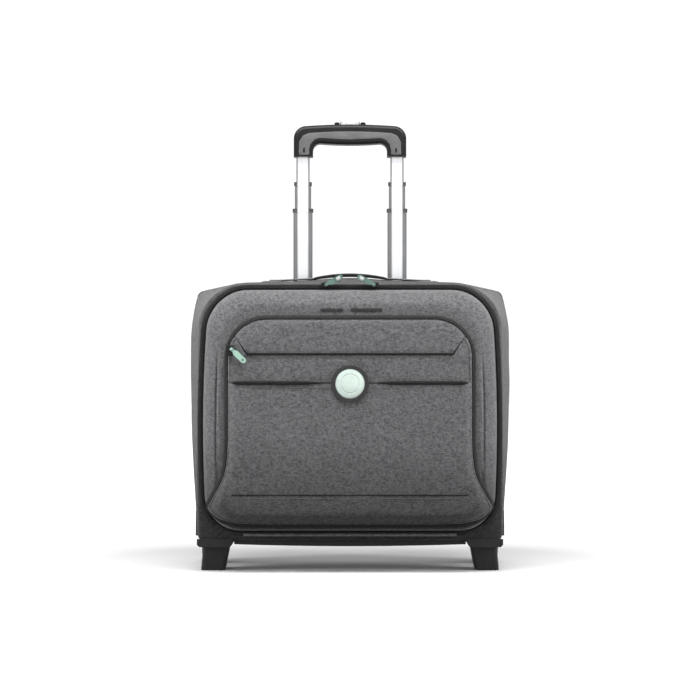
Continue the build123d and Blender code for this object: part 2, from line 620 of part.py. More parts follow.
LID_REAR_Y = FRONT_Y - LIP - FIT
with BuildPart() as lid_zip_tape:
    extrude(outline(LID_REAR_Y, ZIP_LINE, 0.2), amount=TAPE_THICK - FIT)
    extrude(outline(LID_REAR_Y, ZIP_LINE, 0.2 + TAPE_WIDTH), amount=TAPE_THICK - FIT, mode=Mode.SUBTRACT)
lid_zip_tape.part.label = "lid_zip_tape"
export_step(lid_zip_tape.part, "parts/lid_zip_tape.step")

with BuildPart() as lid_panel:
    rim = 0.2 + TAPE_WIDTH
    loft(sections=[outline(LID_REAR_Y, ZIP_LINE, rim), outline(-75, ZIP_LINE, 9), outline(LID_FACE_Y, LID_FACE)])
    loft(
        sections=[
            outline(LID_REAR_Y, ZIP_LINE, rim + LID_WALL),
            outline(-74, ZIP_LINE, 9 + LID_WALL),
            outline(LID_FACE_Y + LID_WALL, LID_FACE, LID_WALL),
        ],
        mode=Mode.SUBTRACT,
    )
lid_panel.part.label = "lid_panel"
export_step(lid_panel.part, "parts/lid_panel.step")

with BuildPart() as hinge_piping:
    with Locations(Location((0, HINGE_Y, HINGE_Z), (0, 90, 0))):
        Cylinder(PIPING_RADIUS, 276)
hinge_piping.part.label = "hinge_piping"
export_step(hinge_piping.part, "parts/hinge_piping.step")


# ---------------------------------------------------------------- organiser pocket
def pocket_outline(depth, inset=0):
    """Arched pocket whose sides run out to the lid's lower corners."""
    low = POCKET_BOTTOM + inset
    half = POCKET_HALF - inset
    flare = POCKET_FLARE - inset
    radius = ARCH_RADIUS - inset
    high = POCKET_TOP - inset
    corner_z = POCKET_TOP - ARCH_RADIUS
    with BuildSketch(Plane.XZ.offset(-depth)) as sketch:
        with BuildLine():
            Line((0, low), (flare - 10, low))
            JernArc((flare - 10, low), (1, 0), 10, 90)
            Spline(
                (flare, low + 10), (half, 170),
                tangents=((-0.45, 0.9), (0, 1)),
            )
            Line((half, 170), (half, corner_z))
            JernArc((half, corner_z), (0, 1), radius, 90)
            Line((half - radius, high), (0, high))
            Line((0, high), (0, low))
        make_face()
        mirror(about=Plane.YZ)
    return sketch.sketch


def flap_region(gap):
    """Solid that covers the flap's share of the pocket front, widened by gap."""
    with BuildPart() as region:
        with BuildSketch(Plane.XZ.offset(-POCKET_FRONT_Y - 5)):
            with BuildLine():
                Polyline(
                    (-FLAP_HALF - gap, FLAP_HINGE_Z + FIT - gap),
                    (-147 - gap, 303),
                    (-190, 303 - gap),
                    (-190, 340),
                    (190, 340),
                    (190, 303 - gap),
                    (147 + gap, 303),
                    (FLAP_HALF + gap, FLAP_HINGE_Z + FIT - gap),
                    (-FLAP_HALF - gap, FLAP_HINGE_Z + FIT - gap),
                )
            make_face()
        extrude(amount=12)
    return region.part


with BuildPart() as organiser_gusset:
    extrude(pocket_outline(LID_FACE_Y), amount=LID_FACE_Y - POCKET_GUSSET_Y)
    extrude(pocket_outline(LID_FACE_Y, LID_WALL), amount=LID_FACE_Y - POCKET_GUSSET_Y, mode=Mode.SUBTRACT)
organiser_gusset.part.label = "organiser_gusset"
export_step(organiser_gusset.part, "parts/organiser_gusset.step")

FLAP_FOLD = Location((0, FLAP_AXIS_Y, FLAP_HINGE_Z), (0, 90, 0))
with BuildPart() as organiser_front:
    extrude(pocket_outline(POCKET_GUSSET_Y), amount=POCKET_GUSSET_Y - POCKET_FRONT_Y)
    add(flap_region(2 * FIT), mode=Mode.SUBTRACT)
    with Locations(FLAP_FOLD):
        Cylinder(FLAP_ROLL + FIT, 2 * FLAP_HALF + 2, mode=Mode.SUBTRACT)
organiser_front.part.label = "organiser_front"
export_step(organiser_front.part, "parts/organiser_front.step")

with BuildPart() as organiser_flap:
    flap_back_y = POCKET_GUSSET_Y - FIT
    extrude(pocket_outline(flap_back_y, 0.5), amount=flap_back_y - POCKET_FRONT_Y)
    add(flap_region(0), mode=Mode.INTERSECT)
    with Locations(FLAP_FOLD):
        Cylinder(FLAP_ROLL, 2 * FLAP_HALF)
organiser_flap.part.label = "organiser_flap"
export_step(organiser_flap.part, "parts/organiser_flap.step")

with BuildPart() as slip_pocket:
    with BuildSketch(Plane.XZ.offset(-POCKET_FRONT_Y)):
        with Locations((0, (SLIP_TOP + SLIP_BOTTOM) / 2)):
            Rectangle(2 * SLIP_HALF, SLIP_TOP - SLIP_BOTTOM)
    extrude(amount=POCKET_FRONT_Y - SLIP_FRONT_Y)
    fillet(slip_pocket.edges().filter_by(Axis.Y).group_by(Axis.Z)[0], 12)
    block(
        (LID_WALL - SLIP_HALF, POCKET_FRONT_Y - SLIP_DEPTH, SLIP_BOTTOM + 12),
        (SLIP_HALF - LID_WALL, POCKET_FRONT_Y, SLIP_TOP),
        Mode.SUBTRACT,
    )
slip_pocket.part.label = "slip_pocket"
export_step(slip_pocket.part, "parts/slip_pocket.step")

BADGE_PLANE = Plane(origin=(0, SLIP_FRONT_Y, BADGE_Z), x_dir=(1, 0, 0), z_dir=(0, -1, 0))
BADGE_THICK = SLIP_FRONT_Y - BADGE_Y
with BuildPart(BADGE_PLANE) as badge_ring:
    with Locations((0, 0, BADGE_THICK / 2)):
        Cylinder(BADGE_RADIUS, BADGE_THICK)
        Cylinder(BADGE_DISC_RADIUS + 0.05, BADGE_THICK, mode=Mode.SUBTRACT)
    chamfer(badge_ring.faces().sort_by(Axis.Y)[0].edges(), 0.4)
badge_ring.part.label = "badge_ring"
export_step(badge_ring.part, "parts/badge_ring.step")

with BuildPart(BADGE_PLANE) as badge_disc:
    with Locations((0, 0, (BADGE_THICK - 0.4) / 2)):
        Cylinder(BADGE_DISC_RADIUS, BADGE_THICK - 0.4)
badge_disc.part.label = "badge_disc"
export_step(badge_disc.part, "parts/badge_disc.step")

# Two plain woven strips over the pocket
with BuildPart() as label_strips:
    for strip_low, strip_high in ((-38, -9), (1, 41)):
        block((strip_low, LID_FACE_Y - 0.8, 335.8), (strip_high, LID_FACE_Y, 339.4))
label_strips.part.label = "label_strips"
export_step(label_strips.part, "parts/label_strips.step")


# ---------------------------------------------------------------- zipper sliders and pulls
SLIDER_PIN_RADIUS = 0.8
PULL_BARREL_RADIUS = 2
PULL_BARREL = 4
PIN_STAND = 2.3             # pin axis in front of the slider's face
SLIDER_THICK = 3


def slider(centre, size, plane):
    """Slider body at centre, with two lugs and the pin that carries its pull."""
    face_y = plane.origin.Y + PIN_STAND
    with BuildPart() as piece:
        with Locations((centre[0], face_y + SLIDER_THICK / 2, centre[1])):
            Box(size[0], SLIDER_THICK, size[1])
        fillet(piece.edges().filter_by(Axis.Y), 1.5)
        with Locations(plane):
            with Locations((0, 2.8, -0.65), (0, -2.8, -0.65)):
                Box(2.4, 1.0, 3.3)
            with Locations(Location((0, 0, 0), (90, 0, 0))):
                Cylinder(SLIDER_PIN_RADIUS, 6.6)
    return piece


def pull(plane, length):
    """Pull tab that turns on the slider's pin, drawn along its plane's x direction."""
    with BuildPart(plane) as piece:
        with BuildSketch(plane.offset(-0.9)):
            with Locations((2.5, 0)):
                Rectangle(5, PULL_BARREL)
            with Locations(((3.5 + length) / 2, 0)):
                SlotOverall(length - 3.5, 7)
        extrude(amount=1.8)
        with Locations(Location((0, 0, 0), (90, 0, 0))):
            Cylinder(PULL_BARREL_RADIUS, PULL_BARREL)
            Cylinder(SLIDER_PIN_RADIUS + 0.08, PULL_BARREL, mode=Mode.SUBTRACT)
        with Locations((length - 4.5, 0, 0)):
            Cylinder(1.4, 4, mode=Mode.SUBTRACT)
    return piece


def pull_plane(pivot_x, pivot_z, slider_back_y, degrees):
    """Plane of a pull: x along the tab, z out of the case."""
    pivot = (pivot_x, slider_back_y - SLIDER_THICK - PIN_STAND, pivot_z)
    direction = (math.cos(math.radians(degrees)), 0, math.sin(math.radians(degrees)))
    return Plane(origin=pivot, x_dir=direction, z_dir=(0, -1, 0))


MAIN_SLIDER_X = 31
MAIN_SLIDER_Z = 370.4
TAPE_FRONT_Y = FRONT_Y - LIP - TAPE_THICK
for side, sign in (("right", 1), ("left", -1)):
    lean = 153 if sign > 0 else 27
    main_plane = pull_plane(sign * MAIN_SLIDER_X, MAIN_SLIDER_Z, TAPE_FRONT_Y - FIT, lean)
    main_slider = slider((sign * MAIN_SLIDER_X, MAIN_SLIDER_Z), (12, 5.6), main_plane)
    main_slider.part.label = f"zip_slider_{side}"
    export_step(main_slider.part, f"parts/zip_slider_{side}.step")
    main_pull = pull(main_plane, 24)
    main_pull.part.label = f"zip_pull_{side}"
    export_step(main_pull.part, f"parts/zip_pull_{side}.step")

organiser_plane = pull_plane(-151, 287, POCKET_FRONT_Y - FIT, -44)
organiser_slider = slider((-153.5, 285), (9, 13), organiser_plane)
organiser_slider.part.label = "organiser_slider"
export_step(organiser_slider.part, "parts/organiser_slider.step")

organiser_pull = pull(organiser_plane, 24)
organiser_pull.part.label = "organiser_pull"
export_step(organiser_pull.part, "parts/organiser_pull.step")
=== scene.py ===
import math

import bmesh
import bpy
import numpy as np
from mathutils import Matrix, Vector, noise


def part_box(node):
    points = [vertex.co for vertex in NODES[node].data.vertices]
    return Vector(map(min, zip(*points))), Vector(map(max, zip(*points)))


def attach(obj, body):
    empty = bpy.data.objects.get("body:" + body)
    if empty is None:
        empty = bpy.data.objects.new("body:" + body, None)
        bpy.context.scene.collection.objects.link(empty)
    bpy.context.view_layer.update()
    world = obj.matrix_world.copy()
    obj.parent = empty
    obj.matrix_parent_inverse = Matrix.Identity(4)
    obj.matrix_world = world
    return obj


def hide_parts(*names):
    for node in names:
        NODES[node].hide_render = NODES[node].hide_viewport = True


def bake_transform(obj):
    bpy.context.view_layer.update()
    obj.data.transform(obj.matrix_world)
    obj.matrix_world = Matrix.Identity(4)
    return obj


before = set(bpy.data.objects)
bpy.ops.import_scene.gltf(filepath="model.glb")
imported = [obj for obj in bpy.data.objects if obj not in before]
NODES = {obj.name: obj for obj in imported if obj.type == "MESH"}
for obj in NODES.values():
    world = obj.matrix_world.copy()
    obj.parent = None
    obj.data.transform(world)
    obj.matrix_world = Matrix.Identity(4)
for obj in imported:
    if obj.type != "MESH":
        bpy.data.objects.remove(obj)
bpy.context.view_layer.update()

# Lengths are millimetres, and pieces are scaled to metres as they are made. Materials, lights and
# the camera use metres.
# An outline is its half width at the bottom, middle and top, its bottom and top height,
# the crown of its top edge, and its bottom and top corner radius.


def box(node):
    """Lowest and highest corner of a CAD node, in millimetres."""
    low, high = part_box(node)
    return np.array(low) * 1000, np.array(high) * 1000


SHELL_LO, SHELL_HI = box("main_shell")
ZIP_LO, ZIP_HI = box("lid_zip_tape")
ZIP_HALF = ZIP_HI[0] + 0.2
HALF = SHELL_HI[0]
LIP_Y = SHELL_LO[1]
REAR_Y = SHELL_HI[1]
MID_Y = -5
BOTTOM = SHELL_LO[2]
ZIP_LINE = (ZIP_HALF - 6.5, ZIP_HALF - 1.5, ZIP_HALF - 10, ZIP_LO[2] - 0.2, ZIP_HI[2] - 0.3, 0.5, 48, 55)
LID_FACE = (178, 170, 166, 56, 346, 0.5, 36, 48)
LID_FACE_Y = box("lid_panel")[0][1]
BODY_FRONT = (HALF - 16, HALF - 14, HALF - 19, BOTTOM, BOTTOM + 332, 0.5, 8, 52)
BODY_MID = (HALF - 12, HALF - 3.1, HALF - 7, BOTTOM, BOTTOM + 336, 3, 8, 70)
BODY_REAR = (HALF - 12, HALF - 4, HALF - 4.5, BOTTOM, BOTTOM + 329, 0.5, 18, 11)
WALL = 5
TUBE_X = sum(box("lower_tube_right"))[0] / 2
FOLD_Z = box("organiser_flap")[0][2] + 1.3
MOUTH_Z = box("slip_pocket")[1][2]
CENTRE = np.array([0.0, 196.0])
PAST_X, PAST_Y, PAST_Z = 240, 120, 400  # beyond the body's sides, back and top
PAST_BEZEL = 110  # behind the bezel
BAY_FLOOR = 345
CUT_FRONT, CUT_BACK = -130, -40  # in front of the pocket and behind its front wall

# Where tones change, in metres: heights where painted shade darkens the cloth at the case's foot and crown,
# distances from the middle of a trolley tube where a painted dark reflection darkens its long edges,
# and distances from the middle of the floor where it starts to glow.
FOOT_PAINTED_SHADE = (0.076, 0.176)
CROWN_PAINTED_SHADE = (0.362, 0.372)
TUBE_PAINTED_REFLECTION = (0.006, 0.008)
FLOOR_GLOW = (0.35, 1.05)


# ---------------------------------------------------------------- materials
def new_material(name, **sockets):
    material = bpy.data.materials.new(name)
    material.use_nodes = True
    shader = material.node_tree.nodes["Principled BSDF"]
    for socket, value in sockets.items():
        shader.inputs[socket.replace("_", " ")].default_value = value
    return material, material.node_tree, shader


def grey(value):
    """Slightly cool grey."""
    return (value, value, value * 1.01, 1)


def math_node(tree, operation, first, second):
    node = tree.nodes.new("ShaderNodeMath")
    node.operation = operation
    for socket, value in zip(node.inputs, (first, second)):
        if isinstance(value, (int, float)):
            socket.default_value = value
        else:
            tree.links.new(value, socket)
    return node.outputs[0]


def multiply(tree, first, second):
    """One colour times another."""
    node = tree.nodes.new("ShaderNodeMixRGB")
    node.blend_type = "MULTIPLY"
    node.inputs["Fac"].default_value = 1.0
    tree.links.new(first, node.inputs["Color1"])
    tree.links.new(second, node.inputs["Color2"])
    return node.outputs["Color"]


def noise_node(tree, vector, scale, detail=2.0, roughness=0.5):
    node = tree.nodes.new("ShaderNodeTexNoise")
    node.inputs["Scale"].default_value = scale
    node.inputs["Detail"].default_value = detail
    node.inputs["Roughness"].default_value = roughness
    tree.links.new(vector, node.inputs["Vector"])
    return node.outputs["Fac"]


def stretched(tree, vector, scale):
    node = tree.nodes.new("ShaderNodeMapping")
    node.inputs["Scale"].default_value = scale
    tree.links.new(vector, node.inputs["Vector"])
    return node.outputs["Vector"]


def ramp(tree, factor, stops):
    """Colour that changes between two stops."""
    node = tree.nodes.new("ShaderNodeValToRGB")
    for element, (place, colour) in zip(node.color_ramp.elements, stops):
        element.position = place
        element.color = colour
    tree.links.new(factor, node.inputs["Fac"])
    return node.outputs["Color"]


def tone_fade(tree, length, scale, places, tones):
    """Tone that changes between two places along a length; scale brings the places under 1."""
    factor = math_node(tree, "MULTIPLY", length, scale)
    return ramp(tree, factor, [(place * scale, grey(tone)) for place, tone in zip(places, tones)])


def add_bump(tree, shader, height, distance):
    node = tree.nodes.new("ShaderNodeBump")
    node.inputs["Distance"].default_value = distance
    tree.links.new(height, node.inputs["Height"])
    tree.links.new(node.outputs["Normal"], shader.inputs["Normal"])


def fabric(name, dark, light, pitch=1.3, sheen=0.08, foot_painted_shade=1.0, crown_painted_shade=1.0):
    """Flecked cloth with threads at a pitch in millimetres; the two tones after sheen are painted shade at
    foot and crown.
    """
    material, tree, shader = new_material(name, Roughness=0.92, Sheen_Weight=sheen, Sheen_Roughness=0.45,
                                          Specular_IOR_Level=0.03)
    coords = tree.nodes.new("ShaderNodeTexCoord").outputs["Object"]
    uv = tree.nodes.new("ShaderNodeUVMap")
    uv.uv_map = "weave"
    parts = tree.nodes.new("ShaderNodeSeparateXYZ")
    tree.links.new(uv.outputs["UV"], parts.inputs[0])
    turn = 2000 * math.pi / pitch
    waves = []
    for axis in (0, 1):
        angle = math_node(tree, "MULTIPLY", parts.outputs[axis], turn)
        waves.append(math_node(tree, "SINE", angle, 0.0))
    weave = math_node(tree, "MULTIPLY", waves[0], waves[1])
    fleck = noise_node(tree, coords, 700, 2.0, 0.6)
    cloud = noise_node(tree, coords, 260, 3.0, 0.65)
    streak = noise_node(tree, stretched(tree, coords, (240, 240, 800)), 1.0)
    melange = math_node(tree, "MULTIPLY", fleck, 0.36)
    for part, share in ((cloud, 0.36), (streak, 0.28), (weave, 0.05)):
        melange = math_node(tree, "ADD", melange, math_node(tree, "MULTIPLY", part, share))
    colour = ramp(tree, melange, [(0.37, dark), (0.63, light)])
    # Painted shade: the colour is darkened by height towards the case's foot, and towards its crown.
    if foot_painted_shade < 1:
        place = tree.nodes.new("ShaderNodeSeparateXYZ")
        tree.links.new(coords, place.inputs[0])
        height = place.outputs[2]
        colour = multiply(tree, colour, tone_fade(tree, height, 2.5, FOOT_PAINTED_SHADE, (foot_painted_shade, 1.0)))
        colour = multiply(tree, colour, tone_fade(tree, height, 2.5, CROWN_PAINTED_SHADE, (1.0, crown_painted_shade)))
    tree.links.new(colour, shader.inputs["Base Color"])
    relief = math_node(tree, "ADD", weave, math_node(tree, "MULTIPLY", fleck, 1.2))
    add_bump(tree, shader, relief, 0.00012)
    return material


def plastic(name, colour, rough=0.45, grain=900, depth=0.00003):
    """Moulded plastic: fine grain, uneven tone and gloss."""
    material, tree, shader = new_material(name, Specular_IOR_Level=0.12)
    coords = tree.nodes.new("ShaderNodeTexCoord").outputs["Object"]
    wide = noise_node(tree, coords, 45, 4.0, 0.6)
    low = tuple(c * 0.86 for c in colour[:3]) + (1,)
    high = tuple(min(1, c * 1.14) for c in colour[:3]) + (1,)
    tree.links.new(ramp(tree, wide, [(0.3, low), (0.7, high)]), shader.inputs["Base Color"])
    gloss = math_node(tree, "ADD", math_node(tree, "MULTIPLY", wide, 0.22), rough - 0.11)
    tree.links.new(gloss, shader.inputs["Roughness"])
    add_bump(tree, shader, noise_node(tree, coords, grain), depth)
    return material


def metal(name, colour, rough, brush, edge_painted_reflection=1.0):
    """Metal with fine drawn lines and uneven gloss; the last tone is a painted dark reflection on a tube's
    two long edges.
    """
    material, tree, shader = new_material(name, Metallic=1.0)
    coords = tree.nodes.new("ShaderNodeTexCoord").outputs["Object"]
    lines = noise_node(tree, stretched(tree, coords, brush), 1.0, 3.0, 0.6)
    smudge = noise_node(tree, coords, 30, 3.0, 0.6)
    low = tuple(c * 0.88 for c in colour[:3]) + (1,)
    tint = ramp(tree, lines, [(0.25, low), (0.75, colour)])
    # Painted reflection: the base colour is darkened along the tube's two long edges.
    if edge_painted_reflection < 1:
        parts = tree.nodes.new("ShaderNodeSeparateXYZ")
        tree.links.new(coords, parts.inputs[0])
        sideways = math_node(tree, "ABSOLUTE", parts.outputs[0], 0.0)
        from_tube = math_node(tree, "SUBTRACT", sideways, TUBE_X / 1000)
        off_centre = math_node(tree, "ABSOLUTE", from_tube, 0.0)
        tint = multiply(tree, tint, tone_fade(tree, off_centre, 50, TUBE_PAINTED_REFLECTION, (1.0, edge_painted_reflection)))
    tree.links.new(tint, shader.inputs["Base Color"])
    gloss = math_node(tree, "ADD", math_node(tree, "MULTIPLY", smudge, 0.16), rough - 0.08)
    tree.links.new(gloss, shader.inputs["Roughness"])
    add_bump(tree, shader, lines, 0.000012)
    return material


# Painted shade: the heather cloth is darkened towards the case's foot.
HEATHER = fabric("heather_cloth", grey(0.019), grey(0.070), foot_painted_shade=0.5)
# Painted shade: a darker copy of the heather cloth for the body, darkened again at its foot and its crown.
HEATHER_BODY_PAINTED_SHADE = fabric("heather_fabric_body_painted_shade", grey(0.013), grey(0.047), foot_painted_shade=0.5, crown_painted_shade=0.5)
TRIM = fabric("self_trim", grey(0.03), grey(0.10), pitch=1.0)
BLACK_CLOTH = fabric("black_cloth", grey(0.004), grey(0.012), pitch=1.0, sheen=0.02)
LINING_CLOTH = fabric("lining_cloth", grey(0.020), grey(0.045), pitch=0.8)
WEBBING = fabric("webbing", grey(0.005), grey(0.014), pitch=2.4, sheen=0.03)
THREAD = plastic("thread", grey(0.045), 0.75, 2500, 0.00005)
COIL = plastic("zip_coil", grey(0.012), 0.45, 1800, 0.00002)
LABEL = fabric("woven_label", grey(0.010), grey(0.022), pitch=0.7, sheen=0.02)
BLACK_PLASTIC = plastic("black_plastic", grey(0.008), 0.45)
FOOT_PLASTIC = plastic("foot_plastic", grey(0.010), 0.5, 1200, 0.00005)
GRIP_BLACK = plastic("grip_black", grey(0.0025), 0.45)
GRIP_GREY = plastic("grip_grey", grey(0.034), 0.5)
BOARD = plastic("board", grey(0.07), 0.7, 400, 0.00005)
WHEEL = plastic("wheel_plastic", grey(0.035), 0.5)
TYRE = plastic("tyre_rubber", grey(0.012), 0.72, 1500, 0.00006)
MINT_RUBBER = plastic("mint_rubber", (0.115, 0.178, 0.148, 1), 0.6, 1400)
MINT_DEEP = plastic("mint_rubber_deep", (0.040, 0.066, 0.055, 1), 0.65, 1400)
MINT_DISC = plastic("mint_disc", (0.205, 0.240, 0.220, 1), 0.45, 1200, 0.00001)
TIP_GREY = plastic("pull_tip", grey(0.16), 0.5, 1400)
BADGE_BLACK = plastic("badge_black", grey(0.014), 0.3, 1200, 0.00001)
SLIDER_BLACK = metal("slider_black", grey(0.022), 0.4, (700, 700, 700))
# Tube and collar metals carry a painted dark reflection along their long edges.
ALUMINIUM = metal("tube_aluminium", (0.84, 0.85, 0.86, 1), 0.3, (900, 900, 12), 0.26)
COLLAR = metal("collar", (0.80, 0.81, 0.82, 1), 0.4, (600, 600, 600), 0.10)
STEEL = metal("steel", (0.34, 0.34, 0.35, 1), 0.3, (600, 600, 600))
SILVER = metal("silver_button", (0.50, 0.51, 0.52, 1), 0.34, (500, 40, 500))

CAD_MATERIALS = {
    BLACK_PLASTIC: ("stair_skids", "base_tray", "wheel_housing_left", "wheel_housing_right", "trolley_bezel",
                    "trolley_bracket", "lower_shoes", "middle_shoes", "upper_shoes"),
    COLLAR: ("lower_collars", "middle_collars"),
    FOOT_PLASTIC: ("foot_left", "foot_right"),
    GRIP_BLACK: ("trolley_grip",),
    BOARD: ("divider_board",),
    WHEEL: ("wheel_hub_left", "wheel_hub_right"),
    TYRE: ("tyre_left", "tyre_right"),
    MINT_RUBBER: ("organiser_pull",),
    MINT_DEEP: ("zip_pull_left", "zip_pull_right"),
    BADGE_BLACK: ("badge_ring",),
    SLIDER_BLACK: ("zip_slider_left", "zip_slider_right", "organiser_slider"),
    ALUMINIUM: tuple(f"{stage}_tube_{side}" for stage in ("outer", "lower", "middle", "upper")
                     for side in ("left", "right")),
    STEEL: ("wire_frame", "axles", "bearings_left", "bearings_right", "push_rods", "lock_pin_left",
            "lock_pin_right", "button_springs"),
    SILVER: ("push_button",),
}
for cad_material, cad_names in CAD_MATERIALS.items():
    for cad_name in cad_names:
        for material_slot in NODES[cad_name].material_slots:
            material_slot.material = cad_material


# ---------------------------------------------------------------- making meshes
def mesh_object(name, verts, faces):
    """Object from points in millimetres, with double points joined and its faces turned outwards."""
    mesh = bpy.data.meshes.new(name)
    mesh.from_pydata((np.asarray(verts, float) / 1000).tolist(), [], faces)
    work = bmesh.new()
    work.from_mesh(mesh)
    bmesh.ops.remove_doubles(work, verts=work.verts, dist=1e-6)
    bmesh.ops.recalc_face_normals(work, faces=work.faces)
    work.to_mesh(mesh)
    work.free()
    obj = bpy.data.objects.new(name, mesh)
    bpy.context.scene.collection.objects.link(obj)
    return obj


def weave_uv(mesh):
    """Metric UVs, each face mapped along the axis that it faces most."""
    layer = mesh.uv_layers.get("weave") or mesh.uv_layers.new(name="weave")
    for face in mesh.polygons:
        facing = [abs(n) for n in face.normal]
        first, second = ((1, 2), (0, 2), (0, 1))[facing.index(max(facing))]
        for loop in face.loop_indices:
            point = mesh.vertices[mesh.loops[loop].vertex_index].co
            layer.data[loop].uv = (point[first], point[second])


def dress(obj, material, body, sharp=35):
    """Material, smooth shading, UVs and body of a piece."""
    mesh = obj.data
    mesh.materials.clear()
    mesh.materials.append(material)
    mesh.shade_smooth()
    mesh.set_sharp_from_angle(angle=math.radians(sharp))
    weave_uv(mesh)
    if body:
        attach(obj, body)
    return obj


def row_faces(rows, count, closed_path, closed_rows, caps):
    """Faces of a grid of rows with count points each; caps close its two open ends."""
    faces = []
    for row in range(rows if closed_rows else rows - 1):
        for j in range(count if closed_path else count - 1):
            k = (j + 1) % count
            after = (row + 1) % rows
            faces.append((row * count + j, row * count + k, after * count + k, after * count + j))
    if caps and closed_path:
        faces += [tuple(range(count)), tuple((rows - 1) * count + j for j in range(count))]
    elif caps:
        faces += [tuple(row * count + end for row in range(rows)) for end in (0, count - 1)]
    return faces


def skin(name, rows, closed_path=True, closed_rows=False, caps=True):
    """Mesh through rows of points; closed_path joins a row's ends, closed_rows the first and last row."""
    rows = [np.asarray(row, float) for row in rows]
    faces = row_faces(len(rows), len(rows[0]), closed_path, closed_rows, caps)
    return mesh_object(name, np.vstack(rows), faces)


def ring(shape, inset=0.0, per_line=22, per_corner=12):
    """Closed front-view outline as (x, z) points, from the bottom middle round by the right side."""
    low, mid, top, bottom, high, crown, r_low, r_top = shape
    base, roof, half = bottom + inset, high - inset, mid - inset
    r_low, r_top = max(r_low - inset, 1.5), max(r_top - inset, 1.5)
    share = np.linspace(0, 1, per_line, endpoint=False)
    turn = np.linspace(0, math.pi / 2, per_corner, endpoint=False)
    x = np.concatenate([share * (half - r_low), half - r_low + r_low * np.sin(turn), np.full(per_line, half),
                        half - r_top + r_top * np.cos(turn), (1 - share) * (half - r_top), [0.0]])
    z = np.concatenate([np.full(per_line, base), base + r_low - r_low * np.cos(turn),
                        base + r_low + share * (roof - r_top - base - r_low),
                        roof - r_top + r_top * np.sin(turn), np.full(per_line + 1, roof)])
    level = (z - bottom) / (high - bottom)
    width = (low * (2 * level - 1) * (level - 1) + mid * 4 * level * (1 - level)
             + top * level * (2 * level - 1))
    x = x * (width - inset) / half
    z = z + crown * (1 - (x / half) ** 2) * np.clip(2 * level - 1, 0, 1)
    right = np.column_stack([x, z])
    return np.vstack([right, right[-2:0:-1] * (-1, 1)])


def at_depth(points, depth):
    """(x, z) points as 3D points at one depth, or at a depth each."""
    return np.column_stack([points[:, 0], np.broadcast_to(depth, len(points)), points[:, 1]])


def shrink(points, factor):
    """(x, z) points drawn in towards the middle of the front."""
    return CENTRE + (points - CENTRE) * factor


def body_shape(depth):
    """Body outline at a depth, on a curve through the front, middle and rear outlines."""
    front = LIP_Y + 3
    weights = ((depth - MID_Y) * (depth - REAR_Y) / ((front - MID_Y) * (front - REAR_Y)),
               (depth - front) * (depth - REAR_Y) / ((MID_Y - front) * (MID_Y - REAR_Y)),
               (depth - front) * (depth - MID_Y) / ((REAR_Y - front) * (REAR_Y - MID_Y)))
    return tuple(sum(w * s[i] for w, s in zip(weights, (BODY_FRONT, BODY_MID, BODY_REAR))) for i in range(8))


def ripple(points, size, seed):
    """Smooth random offsets between about -1 and 1, for cloth that isn't perfectly flat."""
    shift = Vector((seed, seed * 1.7, seed * 0.6))
    return np.array([noise.noise(Vector(point) / size + shift) for point in points])


def edge_distance(points, loop):
    """Distance of (x, z) points from a closed outline."""
    step = np.roll(loop, -1, axis=0) - loop
    share = np.einsum("pik,ik->pi", points[:, None] - loop, step) / (step ** 2).sum(axis=1)
    nearest = loop + np.clip(share, 0, 1)[..., None] * step
    return np.linalg.norm(points[:, None] - nearest, axis=2).min(axis=1)


def reach(points, loop):
    """Distance from the centre to a star-shaped outline, in the direction of each point."""
    spoke = loop - CENTRE
    angle = np.arctan2(spoke[:, 1], spoke[:, 0])
    order = np.argsort(angle)
    heading = np.arctan2(points[:, 1] - CENTRE[1], points[:, 0] - CENTRE[0])
    return np.interp(heading, angle[order], np.linalg.norm(spoke, axis=1)[order], period=2 * math.pi)


def right_of(loop):
    """Unit vectors to the right of the way that a closed (x, z) outline runs."""
    ahead = np.roll(loop, -1, axis=0) - np.roll(loop, 1, axis=0)
    ahead /= np.linalg.norm(ahead, axis=1)[:, None]
    return np.column_stack([ahead[:, 1], -ahead[:, 0]])


def smooth_loop(corners, count, spread):
    """Rounded, evenly spaced closed outline through right-half corners and their mirror images."""
    corners = np.array(corners, float)
    loop = np.vstack([corners, corners[-2:0:-1] * (-1, 1), corners[:1]])
    for spacing, blur in ((1.0, spread), (None, 0)):
        steps = np.concatenate([[0], np.cumsum(np.linalg.norm(np.diff(loop, axis=0), axis=1))])
        places = np.linspace(0, steps[-1], int(steps[-1] / spacing) if spacing else count + 1)[:-1]
        loop = np.column_stack([np.interp(places, steps, loop[:, k]) for k in (0, 1)])
        if blur:
            offsets = np.arange(-int(3 * blur), int(3 * blur) + 1)
            weights = np.exp(-0.5 * (offsets / blur) ** 2)
            loop = sum(w * np.roll(loop, o, axis=0) for w, o in zip(weights / weights.sum(), offsets))
            loop = np.vstack([loop, loop[:1]])
    return loop


def smooth(value):
    """Soft step from 0 to 1."""
    value = np.clip(value, 0, 1)
    return value * value * (3 - 2 * value)


def prism(outline, front_y, back_y):
    """Cutter with an (x, z) outline, between two depths."""
    count = len(outline)
    verts = [(x, y, z) for y in (front_y, back_y) for x, z in outline]
    faces = [tuple(range(count)), tuple(range(2 * count - 1, count - 1, -1))]
    faces += [(j, j + count, (j + 1) % count + count, (j + 1) % count) for j in range(count)]
    return mesh_object("cutter", verts, faces)


def block(low, high):
    """Box-shaped cutter."""
    (x0, y0, z0), (x1, y1, z1) = low, high
    return prism([(x0, z0), (x1, z0), (x1, z1), (x0, z1)], y0, y1)


def cut(obj, cutter, operation="DIFFERENCE"):
    """Boolean applied to the mesh; the cutter is removed."""
    modifier = obj.modifiers.new("cut", "BOOLEAN")
    modifier.operation = operation
    modifier.solver = "EXACT"
    modifier.object = cutter
    mesh = bpy.data.meshes.new_from_object(obj.evaluated_get(bpy.context.evaluated_depsgraph_get()))
    obj.modifiers.clear()
    obj.data = mesh
    bpy.data.objects.remove(cutter)


